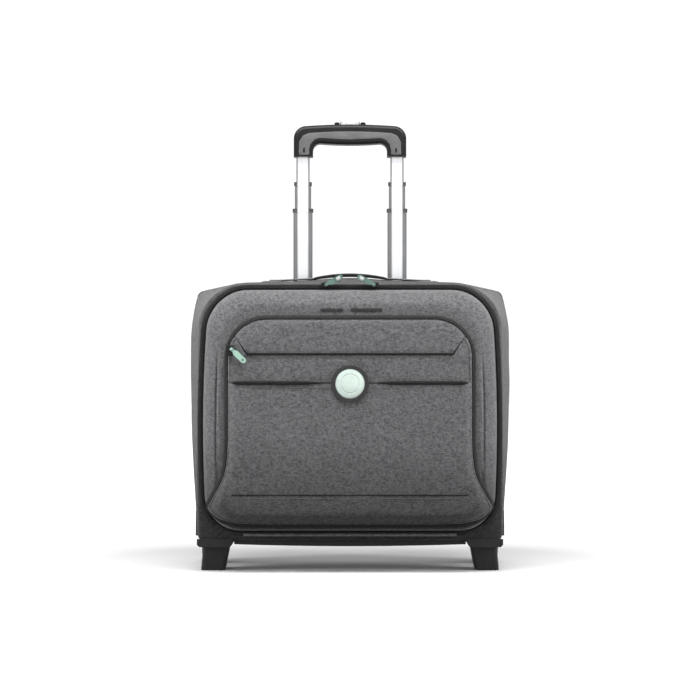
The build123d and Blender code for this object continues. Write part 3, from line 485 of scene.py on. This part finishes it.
def cord(name, path, radius, material, body, flat=1.0):
    """Cord along 3D points; radius may vary, and flat is its share of depth from front to back."""
    sides = 10
    path = np.asarray(path, float)
    radius = np.broadcast_to(radius, len(path))[:, None]
    ahead = np.roll(path, -1, axis=0) - np.roll(path, 1, axis=0)
    ahead[0] = path[1] - path[0]
    ahead[-1] = path[-1] - path[-2]
    ahead /= np.linalg.norm(ahead, axis=1)[:, None]
    across = np.cross(ahead, (0.0, -1.0, 0.0))
    across /= np.linalg.norm(across, axis=1)[:, None]
    outward = np.cross(across, ahead)
    angles = np.arange(sides) * 2 * math.pi / sides
    rows = [path + radius * (math.cos(a) * across + flat * math.sin(a) * outward) for a in angles]
    return dress(skin(name, rows, closed_path=False, closed_rows=True), material, body, 60)


def beads(name, paths, spacing, size, material, body, out=(0, -1, 0), turned=False):
    """Small rounded bars along paths: stitches, or zipper teeth when turned across the path."""
    length, width, height = size
    sides = 6
    up = np.array(out, float)
    verts, faces = [], []
    for path in paths:
        path = np.asarray(path, float)
        steps = np.concatenate([[0], np.cumsum(np.linalg.norm(np.diff(path, axis=0), axis=1))])
        places = np.arange(spacing / 2, steps[-1], spacing)
        points = np.column_stack([np.interp(places, steps, path[:, k]) for k in range(3)])
        ahead = np.column_stack([np.interp(places + 0.3, steps, path[:, k]) for k in range(3)]) - points
        for point, heading in zip(points, ahead):
            heading = heading / (np.linalg.norm(heading) + 1e-9)
            side = np.cross(heading, up)
            if turned:
                heading, side = side, heading
            start = len(verts)
            for end, taper in ((-0.5, 0.4), (-0.3, 1.0), (0.3, 1.0), (0.5, 0.4)):
                for corner in range(sides):
                    angle = 2 * math.pi * corner / sides
                    verts.append(point + heading * end * length + side * math.cos(angle) * width / 2 * taper
                                 + up * math.sin(angle) * height / 2 * taper)
            for level in range(3):
                for corner in range(sides):
                    a = start + level * sides + corner
                    b = start + level * sides + (corner + 1) % sides
                    faces.append((a, b, b + sides, a + sides))
            faces += [tuple(range(end, end + sides)) for end in (start, start + 3 * sides)]
    return dress(mesh_object(name, verts, faces), material, body, 60)


def slab(name, levels, halves, front, back, columns, middle=0.0):
    """Soft panel between two depth functions; halves gives its half width at each level."""
    share = np.linspace(-1, 1, columns)
    flat = np.vstack([np.column_stack([middle + share * half, np.full(columns, level)])
                      for level, half in zip(levels, halves)])
    rows, total = len(levels), len(flat)
    verts = np.vstack([at_depth(flat, front(flat)), at_depth(flat, back(flat))])
    grid = row_faces(rows, columns, False, False, False)
    faces = grid + [tuple(v + total for v in face) for face in grid]
    rim = (list(range(columns)) + [r * columns + columns - 1 for r in range(1, rows)]
           + [(rows - 1) * columns + j for j in range(columns - 2, -1, -1)]
           + [r * columns for r in range(rows - 2, 0, -1)])
    faces += [(a, b, b + total, a + total) for a, b in zip(rim, rim[1:] + rim[:1])]
    return mesh_object(name, verts, faces)


# ---------------------------------------------------------------- body
def cut_bays(obj, bezel_floor):
    """Opens a body piece for the wheel housings, and for the bezel above a height."""
    low, high = box("wheel_housing_right")
    cut(obj, block((low[0] - 0.3, low[1] - 0.3, 0), (PAST_X, PAST_Y, high[2] + 0.3)))
    cut(obj, block((-PAST_X, low[1] - 0.3, 0), (0.3 - low[0], PAST_Y, high[2] + 0.3)))
    low, high = box("trolley_bezel")
    cut(obj, block((low[0], low[1], bezel_floor), (high[0], PAST_BEZEL, PAST_Z)))


def build_body():
    """Padded fabric body with its front lip, open for the wheel housings and the bezel."""
    back = REAR_Y - WALL
    front_round, rear_round = 3.5, 7.0
    crown_rise, crown_spread = 4.9, 62
    rows = [at_depth(shrink(ring(body_shape(back), WALL), factor), back) for factor in (0.02, 0.5, 0.9)]
    rows += [at_depth(ring(body_shape(depth), WALL), depth) for depth in np.linspace(back, LIP_Y + 3, 12)]
    rows += [at_depth(ring(ZIP_LINE, inset), depth) for inset, depth in
             ((6, LIP_Y + 3), (6, LIP_Y), (2, LIP_Y), (-1.5, LIP_Y))]
    for angle in np.linspace(0, math.pi / 2, 6):
        depth = LIP_Y + front_round * (1 - math.cos(angle))
        rows.append(at_depth(ring(body_shape(depth), front_round * (1 - math.sin(angle))), depth))
    for depth in np.linspace(LIP_Y + front_round + 2, REAR_Y - rear_round - 2, 36):
        flat = at_depth(ring(body_shape(depth)), depth)
        fade = math.sin(math.pi * (depth - LIP_Y) / (REAR_Y - LIP_Y)) ** 0.5
        push = (0.8 + 1.1 * ripple(flat, 85, 3.0) + 0.5 * ripple(flat, 32, 8.0)) * fade
        inward = CENTRE - flat[:, (0, 2)]
        inward /= np.linalg.norm(inward, axis=1)[:, None]
        flat[:, (0, 2)] += inward * push[:, None]
        on_top = flat[:, 2] > 300
        flat[:, 2] += crown_rise * np.exp(-(flat[:, 0] / crown_spread) ** 2) * fade ** 3 * on_top
        rows.append(flat)
    for angle in np.linspace(0, math.pi / 2, 6):
        depth = REAR_Y - rear_round * (1 - math.sin(angle))
        rows.append(at_depth(ring(body_shape(depth), rear_round * (1 - math.cos(angle))), depth))
    rear = ring(body_shape(REAR_Y), rear_round)
    rows += [at_depth(shrink(rear, factor), REAR_Y) for factor in (0.9, 0.5, 0.02)]
    shell = skin("body_shell", rows)
    low, high = box("trolley_bezel")
    cut_bays(shell, high[2] - 4)
    cut(shell, block((low[0] + 5, low[1] + 1, BAY_FLOOR), (high[0] - 5, high[1] - 5, PAST_Z)))
    # The body wears the darker painted-shade copy of the heather cloth.
    dress(shell, HEATHER_BODY_PAINTED_SHADE, "root")
    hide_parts("main_shell")


def build_lining():
    """Thin loose lining just inside the body's wall."""
    inset, front = WALL + 0.6, LIP_Y + 4
    back = REAR_Y - inset
    flat = ring(body_shape(REAR_Y - WALL), inset)
    rows = [at_depth(shrink(flat, factor), back) for factor in (0.02, 0.5)]
    for depth in np.linspace(back, front, 24):
        flat = at_depth(ring(body_shape(depth), inset), depth)
        flat[:, (0, 2)] += (CENTRE - flat[:, (0, 2)]) * (0.004 * (1 + ripple(flat, 60, 5.0)))[:, None]
        rows.append(flat)
    rows.append(at_depth(ring(body_shape(front), WALL + 2), front - 0.6))
    lining = skin("body_lining", rows, caps=False)
    solidify = lining.modifiers.new("thickness", "SOLIDIFY")
    solidify.thickness = 0.0008
    cut_bays(lining, BAY_FLOOR)
    dress(lining, LINING_CLOTH, "root")
    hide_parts("inner_lining")


def build_rear_piping():
    """Piping along the rear edge, clear of the bezel and the wheel housings."""
    edge = at_depth(ring(body_shape(REAR_Y), 2.2), REAR_Y - 2.0)
    clear = (np.abs(edge[:, 0]) > box("trolley_bezel")[1][0] + 2) | (edge[:, 2] < 300)
    clear &= edge[:, 2] > box("wheel_housing_right")[1][2] + 1
    right = edge[clear & (edge[:, 0] > 0)]
    for name, path in (("rear_piping_right", right), ("rear_piping_left", right * (-1, 1, 1))):
        cord(name, path[np.argsort(path[:, 2])], 1.7, BLACK_CLOTH, "root")


build_body()
build_lining()
build_rear_piping()


# ---------------------------------------------------------------- lid
ZIP_EDGE = ring(ZIP_LINE, 3.4)
ZIP_LOOP = ring(ZIP_LINE)
FACE_LOOP = ring(LID_FACE)
LID_SHARE = (0, 0.04, 0.10, 0.19, 0.31, 0.44, 0.63, 0.80, 1.0)
LID_DEPTH = (-62.5, -65.5, -69, -72.5, -75.3, -77.4, -79.6, -81.4, -83.2)
LID_EDGE_ROWS = (0, .02, .04, .07, .1, .14, .19, .25, .31, .37, .44, .5, .57, .63, .68, .72, .76, .79, .82,
                 .85, .88, .92, .96, 1.0)
LID_FACE_ROWS = (0.98, 0.96, 0.93, 0.89, 0.85, 0.78, 0.7, 0.5, 0.3, 0.02)


def lid_y(points):
    """Depth of the lid's outside: a cushioned edge between the zipper and the flat face."""
    radius = np.linalg.norm(points - CENTRE, axis=1)
    outer, inner = reach(points, ZIP_EDGE), reach(points, FACE_LOOP)
    share = (outer - radius) / (outer - inner)
    edge = np.interp(share, LID_SHARE, LID_DEPTH)
    inside = LID_FACE_Y + (LID_DEPTH[-1] - LID_FACE_Y) * np.exp(-(inner - radius) / 4)
    depth = np.where(share < 1, edge, inside)
    x, z = np.abs(points[:, 0]), points[:, 1]
    side = smooth((z - 100) / 25) * smooth((300 - z) / 60) * (x > 145)
    crease = np.exp(-((edge_distance(points, ZIP_LOOP) - 21.5) / 1.5) ** 2)
    wave = 0.6 * ripple(at_depth(points, 0), 55, 2.0) * smooth((-66 - depth) / 8)
    return depth + 2.6 * crease * side + wave


def build_lid():
    """Padded lid shell and its lining."""
    spokes = ZIP_EDGE - CENTRE
    face = CENTRE + spokes * (reach(ZIP_EDGE, FACE_LOOP) / np.linalg.norm(spokes, axis=1))[:, None]
    flats = [ZIP_EDGE + (face - ZIP_EDGE) * share for share in LID_EDGE_ROWS]
    flats += [shrink(face, factor) for factor in LID_FACE_ROWS]
    rows = [at_depth(flat, lid_y(flat)) for flat in flats]
    inner = [at_depth(flat, lid_y(flat) + 2.6) for flat in flats]
    shell = skin("lid_shell", inner[:0:-1] + [at_depth(ZIP_EDGE, -61.6)] + rows)
    dress(shell, HEATHER, "lid")
    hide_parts("lid_panel")
    lining_rows = [at_depth(shrink(flat, 0.985), np.minimum(lid_y(flat) + 3.4, -61.8)) for flat in flats]
    lining = skin("lid_lining", lining_rows, caps=False)
    dress(lining, LINING_CLOTH, "lid")


build_lid()


# ---------------------------------------------------------------- organiser pocket
POCKET_HALF = 158
ARCH = [(108 + 50 * math.sin(a), 277 + 50 * math.cos(a)) for a in np.linspace(math.pi / 2, 0, 12)]
POCKET_CORNERS = [(0, 61), (120, 61), (146, 62), (165, 66.5), (177, 74.5), (184.5, 83.5), (180.5, 91.5),
                  (174.8, 102), (168.7, 113.5), (163.6, 124), (160.6, 136), (158.8, 150), (POCKET_HALF, 170),
                  (POCKET_HALF, 225)] + ARCH + [(54, 327), (0, 327)]
POCKET_LOOP = smooth_loop(POCKET_CORNERS, 260, 2.0)
EDGE_STEPS = (0, 0.8, 2.0, 4.0, 7.0, 12.0, 18.0)
EDGE_DEPTH = (-91.0, -93.8, -95.6, -96.8, -97.5, -98.0, -98.2)
PILLOW_INSETS = (0, 0.5, 1, 1.6, 2.4, 3.4, 4.6, 6, 8, 10.5, 13.5, 17, 21, 26, 32, 39, 47, 56, 66, 77, 89, 102,
                 116, 130, 144, 154)
SLIP_LIFT = 4.6
FLAP_HALF = 132
SLIP_HALF = 151


def off_lid(points):
    """Share of its full depth that the pocket has at (x, z) points: none close to the main zipper."""
    return smooth((edge_distance(points, ZIP_LOOP) + 2) / 30)


def pocket_y(points, lift=0.0):
    """Depth of the pocket front, dying into the lid at its lower corners; lift raises the slip pocket."""
    edge = edge_distance(points, POCKET_LOOP)
    profile = np.interp(edge, EDGE_STEPS, EDGE_DEPTH) - lift * smooth(edge / 12)
    base = lid_y(points) - 1.5
    return base + (profile - base) * off_lid(points)


def pillow(name, lift=0.0, seed=1.0):
    """Closed soft panel over the whole pocket outline."""
    flats = [shrink(POCKET_LOOP, 1 - inset / POCKET_HALF) for inset in PILLOW_INSETS]
    front = []
    for flat in flats:
        points = at_depth(flat, pocket_y(flat, lift))
        calm = smooth(edge_distance(flat, POCKET_LOOP) / 14) * smooth(np.abs(flat[:, 1] - FOLD_Z) / 12)
        points[:, 1] += (0.9 * ripple(points, 70, seed) + 0.35 * ripple(points, 26, seed + 4)) * calm
        front.append(points)
    back = [at_depth(flat, pocket_y(flat, lift) + 2.2) for flat in flats]
    return skin(name, front[::-1] + back)


def on_pocket(x, z, lift, proud):
    """3D points on the pocket front, proud of it by a distance."""
    flat = np.column_stack(np.broadcast_arrays(x, z))
    return at_depth(flat, pocket_y(flat, lift) - proud)


def loop_at(offset):
    """Pocket outline pushed outwards by offset."""
    return POCKET_LOOP + offset * right_of(POCKET_LOOP)


def flap_cutter(gap):
    """Cutter around the organiser flap, smaller all round by gap."""
    right = [(190 - gap, 345), (190 - gap, 303 + gap), (147, 303 + gap), (FLAP_HALF - gap, FOLD_Z + 2 * gap)]
    return prism([(-x, z) for x, z in right[::-1]] + right, CUT_FRONT, CUT_BACK)


def stitch_row(name, points, body):
    beads(name, [points], 3.4, (2.4, 0.7, 0.5), THREAD, body)


def build_organiser_zip():
    """Zip ribbon round the pocket's side, with its teeth."""
    flat = loop_at(3.6)
    rows = [at_depth(flat, lid_y(flat) + 0.8)]
    for offset, depth in ((3.3, -86.5), (2.8, -91.0), (1.6, -94.6), (-0.6, -96.4), (-1.8, -95.2)):
        flat = loop_at(offset)
        base = lid_y(flat) - 0.8
        rows.append(at_depth(flat, base + (depth - base) * off_lid(flat)))
    ribbon = skin("organiser_zip_ribbon", rows, caps=False)
    solidify = ribbon.modifiers.new("thickness", "SOLIDIFY")
    solidify.thickness = 0.0007
    dress(ribbon, BLACK_CLOTH, "lid")
    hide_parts("organiser_gusset")
    paths = []
    for row in rows[3:5]:
        path = row[row[:, 2] > 90]
        first = int(np.argmin(path[:, 2] - path[:, 0] * 0.01))
        paths.append(np.roll(path, -first, axis=0))
    beads("organiser_teeth", paths, 2.4, (1.8, 1.3, 1.0), COIL, "lid", turned=True)


def build_organiser_front():
    """Pocket front, and the flap above it that folds down, parted by half a millimetre all round."""
    front = pillow("pocket_front")
    cut(front, flap_cutter(-0.5))
    dress(front, HEATHER, "lid")
    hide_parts("organiser_front")
    flap = pillow("pocket_flap")
    cut(flap, flap_cutter(0.5), "INTERSECT")
    dress(flap, HEATHER, "organiser_flap")
    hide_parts("organiser_flap")
    across = np.linspace(-FLAP_HALF, FLAP_HALF, 90)
    # Painted shade: a black cord along the fold stands for the shade in its groove.
    cord("flap_fold_painted_shade", on_pocket(across, FOLD_Z, 0, -0.1), 1.7, BLACK_CLOTH, "organiser_flap")
    stitch_row("flap_stitches", on_pocket(across, FOLD_Z + 4.5, 0, 0.35), "organiser_flap")
    stitch_row("front_stitches", on_pocket(across, FOLD_Z - 4.5, 0, 0.35), "lid")


def build_slip_pocket():
    """Slip pocket with a bound mouth that is thin in the middle, and the seam near its foot; the mouth's
    black binding is partly real binding and partly painted shadow, and the seam's cord is painted shade.
    """
    slip = pillow("slip_pocket_front", SLIP_LIFT, 6.0)
    cut(slip, block((-200, CUT_FRONT, 40), (200, CUT_BACK, MOUTH_Z)), "INTERSECT")
    dress(slip, HEATHER, "lid")
    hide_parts("slip_pocket")
    across = np.linspace(-SLIP_HALF, SLIP_HALF, 120)
    # Painted shadow: the black binding is partly real binding and partly the mouth's shadow, thin by the
    # badge and thick towards the sides.
    taper = 0.6 + 2.0 * smooth((np.abs(across) - 30) / 30) - 1.7 * smooth((np.abs(across) - 145) / 6)
    mouth = on_pocket(across, MOUTH_Z, SLIP_LIFT, -0.2)
    cord("slip_binding_painted_shadow", mouth, taper, BLACK_CLOTH, "lid", flat=0.9)
    for name, level in (("slip_hem_stitches", MOUTH_Z - 6), ("base_stitches", 96.5)):
        stitch_row(name, on_pocket(across, level, SLIP_LIFT, 0.3), "lid")
    # Painted shade: a black cord stands for the shade in the seam's groove.
    cord("base_seam_painted_shade", on_pocket(across, 100.8, SLIP_LIFT, -0.3), 0.9, BLACK_CLOTH, "lid")


def build_welt():
    """Welt inside the pocket's outline, below the flap."""
    welt = loop_at(-3.4)
    path = at_depth(welt, pocket_y(welt) - 0.1)
    below = path[path[:, 2] <= 302.4]
    start = int(np.argmax(np.linalg.norm(np.diff(below, axis=0), axis=1))) + 1
    below = np.roll(below, -start, axis=0)
    cord("pocket_welt", below, 1.3, HEATHER, "lid")


build_organiser_zip()
build_organiser_front()
build_slip_pocket()
build_welt()


# ---------------------------------------------------------------- main zipper and hinge
# Tape sections, as distances inside the zipper's line and depths.
BODY_TAPE = ((-3.4, -61.1), (-3.2, -62.6), (-2.0, -63.6), (-0.5, -63.9), (-0.25, -61.1))
LID_TAPE = ((0.25, -61.4), (0.5, -64.0), (2.0, -63.8), (3.6, -63.4), (3.9, -61.4))
TEETH_Y = -64.2


def build_tape(name, body, profile, node, closed, places):
    """One half of the main zipper with its teeth, on these places of the zipper's line."""
    rows = [at_depth(ring(ZIP_LINE, inset)[places], depth) for inset, depth in profile]
    teeth = at_depth(ring(ZIP_LINE, 0.9 if closed else -0.9)[places], TEETH_Y)
    if closed:
        teeth = np.vstack([teeth, teeth[:1]])
    tape = skin(name, rows, closed_path=closed, closed_rows=True, caps=not closed)
    dress(tape, BLACK_CLOTH, body)
    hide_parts(node)
    beads(name + "_teeth", [teeth], 2.6, (2.0, 1.4, 1.0), COIL, body, turned=True)


def build_zipper():
    """Body half, open along the hinge, closed lid half, and the hinge's piping."""
    top = int(np.argmax(ZIP_LOOP[:, 1]))
    order = np.roll(np.arange(len(ZIP_LOOP)), -top - len(ZIP_LOOP) // 2)
    keep = order[ZIP_LOOP[order, 1] > 62]
    build_tape("body_tape", "root", BODY_TAPE, "body_zip_tape", False, keep)
    build_tape("lid_tape", "lid", LID_TAPE, "lid_zip_tape", True, slice(None))
    low, high = box("hinge_piping")
    path = [(x, (low[1] + high[1]) / 2, (low[2] + high[2]) / 2) for x in np.linspace(low[0], high[0], 60)]
    piping = cord("hinge_fold", path, 2.0, TRIM, "root")
    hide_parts("hinge_piping")


build_zipper()


# ---------------------------------------------------------------- labels, badge and pull tips
def build_labels():
    """Two plain woven strips."""
    low, high = box("label_strips")
    levels = np.linspace(low[2], high[2], 7)
    for name, start, end in (("label_left", low[0], low[0] + 29), ("label_right", low[0] + 39, high[0])):
        halves = np.full(len(levels), (end - start) / 2)
        label = slab(name, levels, halves, lambda flat: lid_y(flat) - 0.9, lambda flat: lid_y(flat) + 0.4,
                     24, (start + end) / 2)
        dress(label, LABEL, "lid")
        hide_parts("label_strips")


def build_badge():
    """Plain domed disc with a shallow groove."""
    low, high = box("badge_disc")
    radius, centre_z = high[0], (low[2] + high[2]) / 2
    profile = [(0.02, 0.9), (4, 0.86), (9, 0.7), (11.2, 0.55), (11.6, 0.25), (12.4, 0.25), (12.8, 0.5),
               (16, 0.3), (radius - 1.2, 0.05), (radius - 0.4, -0.25), (radius, -1.0), (radius, -1.6)]
    angles = np.linspace(0, 2 * math.pi, 72, endpoint=False)
    circle = np.column_stack([np.cos(angles), np.sin(angles)])
    rows = [at_depth(circle * r + (0, centre_z), low[1] - rise) for r, rise in profile]
    disc = skin("badge_face", rows)
    dress(disc, MINT_DISC, "lid", 25)
    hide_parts("badge_disc")


def build_pull_tips():
    """Lighter flat tip on the front of each main zipper pull."""
    for name, sign in (("zip_pull_left", 1), ("zip_pull_right", -1)):
        low, high = box(name)
        inner = high[0] if sign > 0 else low[0]
        path = [(inner - sign * along, low[1] - 0.15, high[2] - drop)
                for along, drop in ((8.0, 6.4), (6.4, 5.6), (4.6, 4.6), (3.2, 3.9))]
        cord(name + "_tip", path, 2.3, TIP_GREY, name, flat=0.35)


build_labels()
build_badge()
build_pull_tips()


# ---------------------------------------------------------------- carry handle
def band_rows(stations, half_depth):
    """Rounded-rectangle sections across a strap, at (x, lower z, upper z) stations."""
    rows = []
    angles = np.linspace(0, 2 * math.pi, 28, endpoint=False)
    for x, low, high in stations:
        middle, thick = (low + high) / 2, (high - low) / 2
        y = half_depth * np.sign(np.cos(angles)) * np.abs(np.cos(angles)) ** 0.35
        z = middle + thick * np.sign(np.sin(angles)) * np.abs(np.sin(angles)) ** 0.6
        rows.append(np.column_stack([np.full(len(angles), x), y, z]))
    return rows


def build_carry():
    """Padded grip with two rows of stitches, and the straps that join it to the body."""
    high = box("carry_grip")[1]
    half, end_z = high[0], high[2] - 7.15
    stations = []
    for x in np.linspace(-half, half, 41):
        bend = 1 - (x / half) ** 2
        swell = min(1.0, (half - abs(x)) / 3 + 0.35)
        middle = end_z + 4.85 * bend
        thick = (1.45 + 0.75 * bend) * swell
        stations.append((x, middle - thick, middle + thick))
    grip = skin("carry_band", band_rows(stations, high[1]))
    dress(grip, WEBBING, "carry_grip")
    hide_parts("carry_grip")
    edge = [(x, -high[1] + 2.5, top - 0.1) for x, _, top in stations[2:-2]]
    beads("carry_stitches", [edge, [(x, -y, z) for x, y, z in edge]], 3.2, (2.2, 0.7, 0.5), THREAD,
          "carry_grip", out=(0, 0, 1))
    strap_low, strap_high = box("carry_straps")
    from_z, to_z = high[2] - 7.2, strap_low[2] + 1.0
    for side, sign in (("right", 1), ("left", -1)):
        stations = []
        for x in np.linspace(half - 1.5, strap_high[0] + 6, 24):
            share = (x - half) / (strap_high[0] - half)
            drop = min(1, smooth(share) * 0.75 + share * 0.25)
            middle = from_z + (to_z - from_z) * drop
            stations.append((sign * x, middle - 1.15, middle + 1.15))
        strap = skin(f"carry_strap_{side}", band_rows(stations, high[1] - 0.4))
        dress(strap, TRIM, None)
        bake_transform(strap)
        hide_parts("carry_straps")


def build_patches():
    """Stitched fabric patches that hold the carry strap's ends."""
    low, high = box("carry_anchors")
    half_x, half_y = 13, high[1]
    corner = [(half_x - 4, half_y), (half_x - 1.2, half_y - 1.2), (half_x, half_y - 4)]
    quarter = np.array(corner[::-1])
    loop = np.vstack([quarter, quarter[::-1] * (-1, 1), quarter * (-1, -1), quarter[::-1] * (1, -1)])
    for side, sign in (("right", 1), ("left", -1)):
        centre = sign * (high[0] - half_x)
        rows = []
        for factor, level in ((1, low[2] - 0.4), (1, high[2] - 0.5), (0.96, high[2]), (0.8, high[2] + 0.15),
                              (0.03, high[2] + 0.2)):
            flat = loop * factor + (centre, 0)
            rows.append(np.column_stack([flat, np.full(len(flat), level)]))
        patch = dress(skin(f"carry_patch_{side}", rows), TRIM, "root")
        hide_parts("carry_anchors")
        square_and_cross = ((9, 10), (9, -10), (-9, -10), (-9, 10), (9, 10), (-9, -10), (-9, 10), (9, -10))
        path = [(centre + x, y, high[2] + 0.35) for x, y in square_and_cross]
        beads(f"carry_patch_stitches_{side}", [path], 3.0, (2.0, 0.7, 0.5), THREAD, "root",
              out=(0, 0, 1))


build_carry()
build_patches()


# ---------------------------------------------------------------- back panel, sleeve, trolley grip plates
def rounded_halves(levels, half, radius):
    """Half widths of a rounded rectangle at each level."""
    edge = np.minimum(levels - levels.min(), levels.max() - levels)
    dip = np.clip(radius - edge, 0, radius)
    return half - radius + np.sqrt(np.maximum(radius ** 2 - dip ** 2, 0))


def build_back():
    """Quilted back panel with upright seams."""
    low, high = box("back_panel")
    radius, seam_places, seam_width = 34, (42, 90, 132), 3.2
    corner = low[2] + radius * (1 - np.cos(np.linspace(0.05, 1, 14) * math.pi / 2))
    foot = np.concatenate([[low[2]], corner])
    straight = np.linspace(low[2] + radius + 4, high[2] - radius - 4, 44)
    levels = np.concatenate([foot, straight, high[2] + low[2] - foot[::-1]])
    halves = rounded_halves(levels, high[0], radius)
    outline = np.vstack([np.column_stack([halves, levels]), np.column_stack([-halves, levels])[::-1]])

    def front(flat):
        return np.full(len(flat), low[1] - 0.4)

    def back(flat):
        edge = edge_distance(flat, outline)
        rise = high[1] - low[1] + 2.6
        seams = np.min([np.abs(np.abs(flat[:, 0]) - place) for place in seam_places], axis=0)
        quilt = 1 - 0.75 * np.exp(-(seams / seam_width) ** 2)
        wave = 0.4 * ripple(at_depth(flat, 0), 45, 9.0) * smooth(edge / 12)
        return low[1] + rise * smooth(np.sqrt(np.clip(edge / 12, 0, 1))) * quilt + wave

    panel = slab("back_pad", levels, halves, front, back, 120)
    dress(panel, LINING_CLOTH, "root")
    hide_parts("back_panel")


def build_sleeve():
    """Laptop sleeve with soft walls and a bound rim."""
    low, high = box("laptop_sleeve")
    half, radius = high[0], 7

    def plan(inset):
        """The sleeve from above, as (x, y) points from its right end to its left."""
        points = [(half - inset, high[1] - 0.2)]
        for angle in np.linspace(0, math.pi / 2, 7):
            points.append((half - radius + (radius - inset) * math.cos(angle),
                           low[1] + radius - (radius - inset) * math.sin(angle)))
        right = points + [(x, low[1] + inset) for x in np.linspace(half - radius - 8, 4, 24)]
        return np.array(right + [(-x, y) for x, y in right[::-1]])

    rows = []
    for level in np.linspace(low[2], high[2], 40):
        tuck = 1.6 * smooth((level - high[2] + 4) / 4)
        row = np.vstack([plan(0.3 + tuck), plan(3.6 - tuck)[::-1]])
        row = np.column_stack([row[:, 0], row[:, 1], np.full(len(row), level)])
        puff = np.exp(-((row[:, 1] - low[1]) / 6) ** 2) * smooth((level - low[2]) / 20)
        row[:, 1] += 0.5 * ripple(row, 60, 7.0) * puff
        rows.append(row)
    sleeve = skin("laptop_pad", rows)
    dress(sleeve, LINING_CLOTH, "root")
    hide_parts("laptop_sleeve")
    rim = [(x, low[1] + 1.9, high[2] - 0.6) for x in np.linspace(-half + 8, half - 8, 60)]
    cord("sleeve_binding", rim, 2.3, BLACK_CLOTH, "root")


# Right half of a grip plate, from the top middle round the leg and back along the hand side.
PLATE_CORNERS = [(0, 580.6), (20, 580.2), (40, 579.4), (56, 578.2), (64, 574.5), (68.6, 567), (68.9, 556),
                 (68.9, 549), (55.2, 549), (55.2, 556), (53.2, 563.5), (48.5, 569), (42, 571.6), (25, 570.6),
                 (0, 569.6)]
SLOT_X, SLOT_Z = 62, 555
SLOT_WIDE, SLOT_TALL = 1.3, 3.6


def build_grip_plates():
    """Grey plates on the trolley grip's front and back, with a small upright slot in each leg."""
    low, high = box("trolley_grip")
    loop = smooth_loop(PLATE_CORNERS, 200, 0.9)
    inward = right_of(loop)
    angles = np.linspace(0, 2 * math.pi, 20, endpoint=False)
    for name, face, outwards in (("grip_plate_front", low[1], -1), ("grip_plate_back", high[1], 1)):
        rows = []
        for inset, proud in ((0, -0.5), (0, 0.35), (0.35, 0.6), (1.2, 0.75)):
            rows.append(at_depth(loop + inward * inset, face + outwards * proud))
        plate = skin(name, rows)
        for x in (-SLOT_X, SLOT_X):
            outline = [(x + SLOT_WIDE * math.cos(a), SLOT_Z + SLOT_TALL * math.sin(a)) for a in angles]
            cut(plate, prism(outline, face - 3, face + 3))
        dress(plate, GRIP_GREY, "upper_stage")


build_back()
build_sleeve()
build_grip_plates()


# ---------------------------------------------------------------- stage, light and camera
CAMERA_PLACE = (0, -3.0, 0.286)
CAMERA_LENS = 116.8
FLOOR_HALF = 9000
FLOOR_TONES = (0.275, 0.285)
WORLD_STRENGTH = 1.08


def add_area(name, place, target, size, power, glossy=True):
    """Rectangular light that shines on a target and that the camera doesn't see."""
    light = bpy.data.lights.new(name, "AREA")
    light.shape = "RECTANGLE"
    light.size, light.size_y = size
    light.energy = power
    obj = bpy.data.objects.new(name, light)
    obj.location = place
    obj.rotation_euler = (Vector(target) - Vector(place)).to_track_quat("-Z", "Y").to_euler()
    obj.visible_camera = False
    obj.visible_glossy = glossy
    bpy.context.scene.collection.objects.link(obj)


def build_floor():
    """Pale floor that turns into a glow away from the case."""
    corners = [(FLOOR_HALF * x, FLOOR_HALF * y, 0) for x, y in ((-1, -1), (1, -1), (1, 1), (-1, 1))]
    floor = mesh_object("floor", corners, [(0, 1, 2, 3)])
    material, tree, shader = new_material("pale_floor", Roughness=0.6)
    coords = tree.nodes.new("ShaderNodeTexCoord").outputs["Object"]
    low, high = FLOOR_TONES
    tint = ramp(tree, noise_node(tree, coords, 6), [(0.3, grey(low)), (0.7, grey(high))])
    tree.links.new(tint, shader.inputs["Base Color"])
    distance = tree.nodes.new("ShaderNodeVectorMath")
    distance.operation = "LENGTH"
    tree.links.new(coords, distance.inputs[0])
    glow = tone_fade(tree, distance.outputs["Value"], 0.4, FLOOR_GLOW, (0.0, 1.0))
    tree.links.new(glow, shader.inputs["Emission Color"])
    shader.inputs["Emission Strength"].default_value = 1.0
    floor.data.materials.append(material)


def add_lights():
    """White surroundings, a light above and one on each side."""
    world = bpy.data.worlds.new("studio")
    world.use_nodes = True
    background = world.node_tree.nodes["Background"]
    background.inputs["Color"].default_value = (1, 1, 1, 1)
    background.inputs["Strength"].default_value = WORLD_STRENGTH
    bpy.context.scene.world = world

    add_area("top_light", (0, -0.4, 1.12), (0, -0.09, 0.25), (1.3, 0.35), 44)
    for side in (-1, 1):
        add_area(f"side_light_{side}", (1.1 * side, -0.32, 0.42), (0.2 * side, -0.07, 0.26), (0.25, 0.7), 27,
                 glossy=False)


def add_camera():
    camera = bpy.data.cameras.new("camera")
    camera.lens = CAMERA_LENS
    camera.sensor_width = 36
    camera.clip_end = 50
    obj = bpy.data.objects.new("camera", camera)
    obj.location = CAMERA_PLACE
    obj.rotation_euler = (math.pi / 2, 0, 0)
    bpy.context.scene.collection.objects.link(obj)
    bpy.context.scene.camera = obj
    bpy.context.scene.view_settings.view_transform = "Standard"


build_floor()
add_lights()
add_camera()
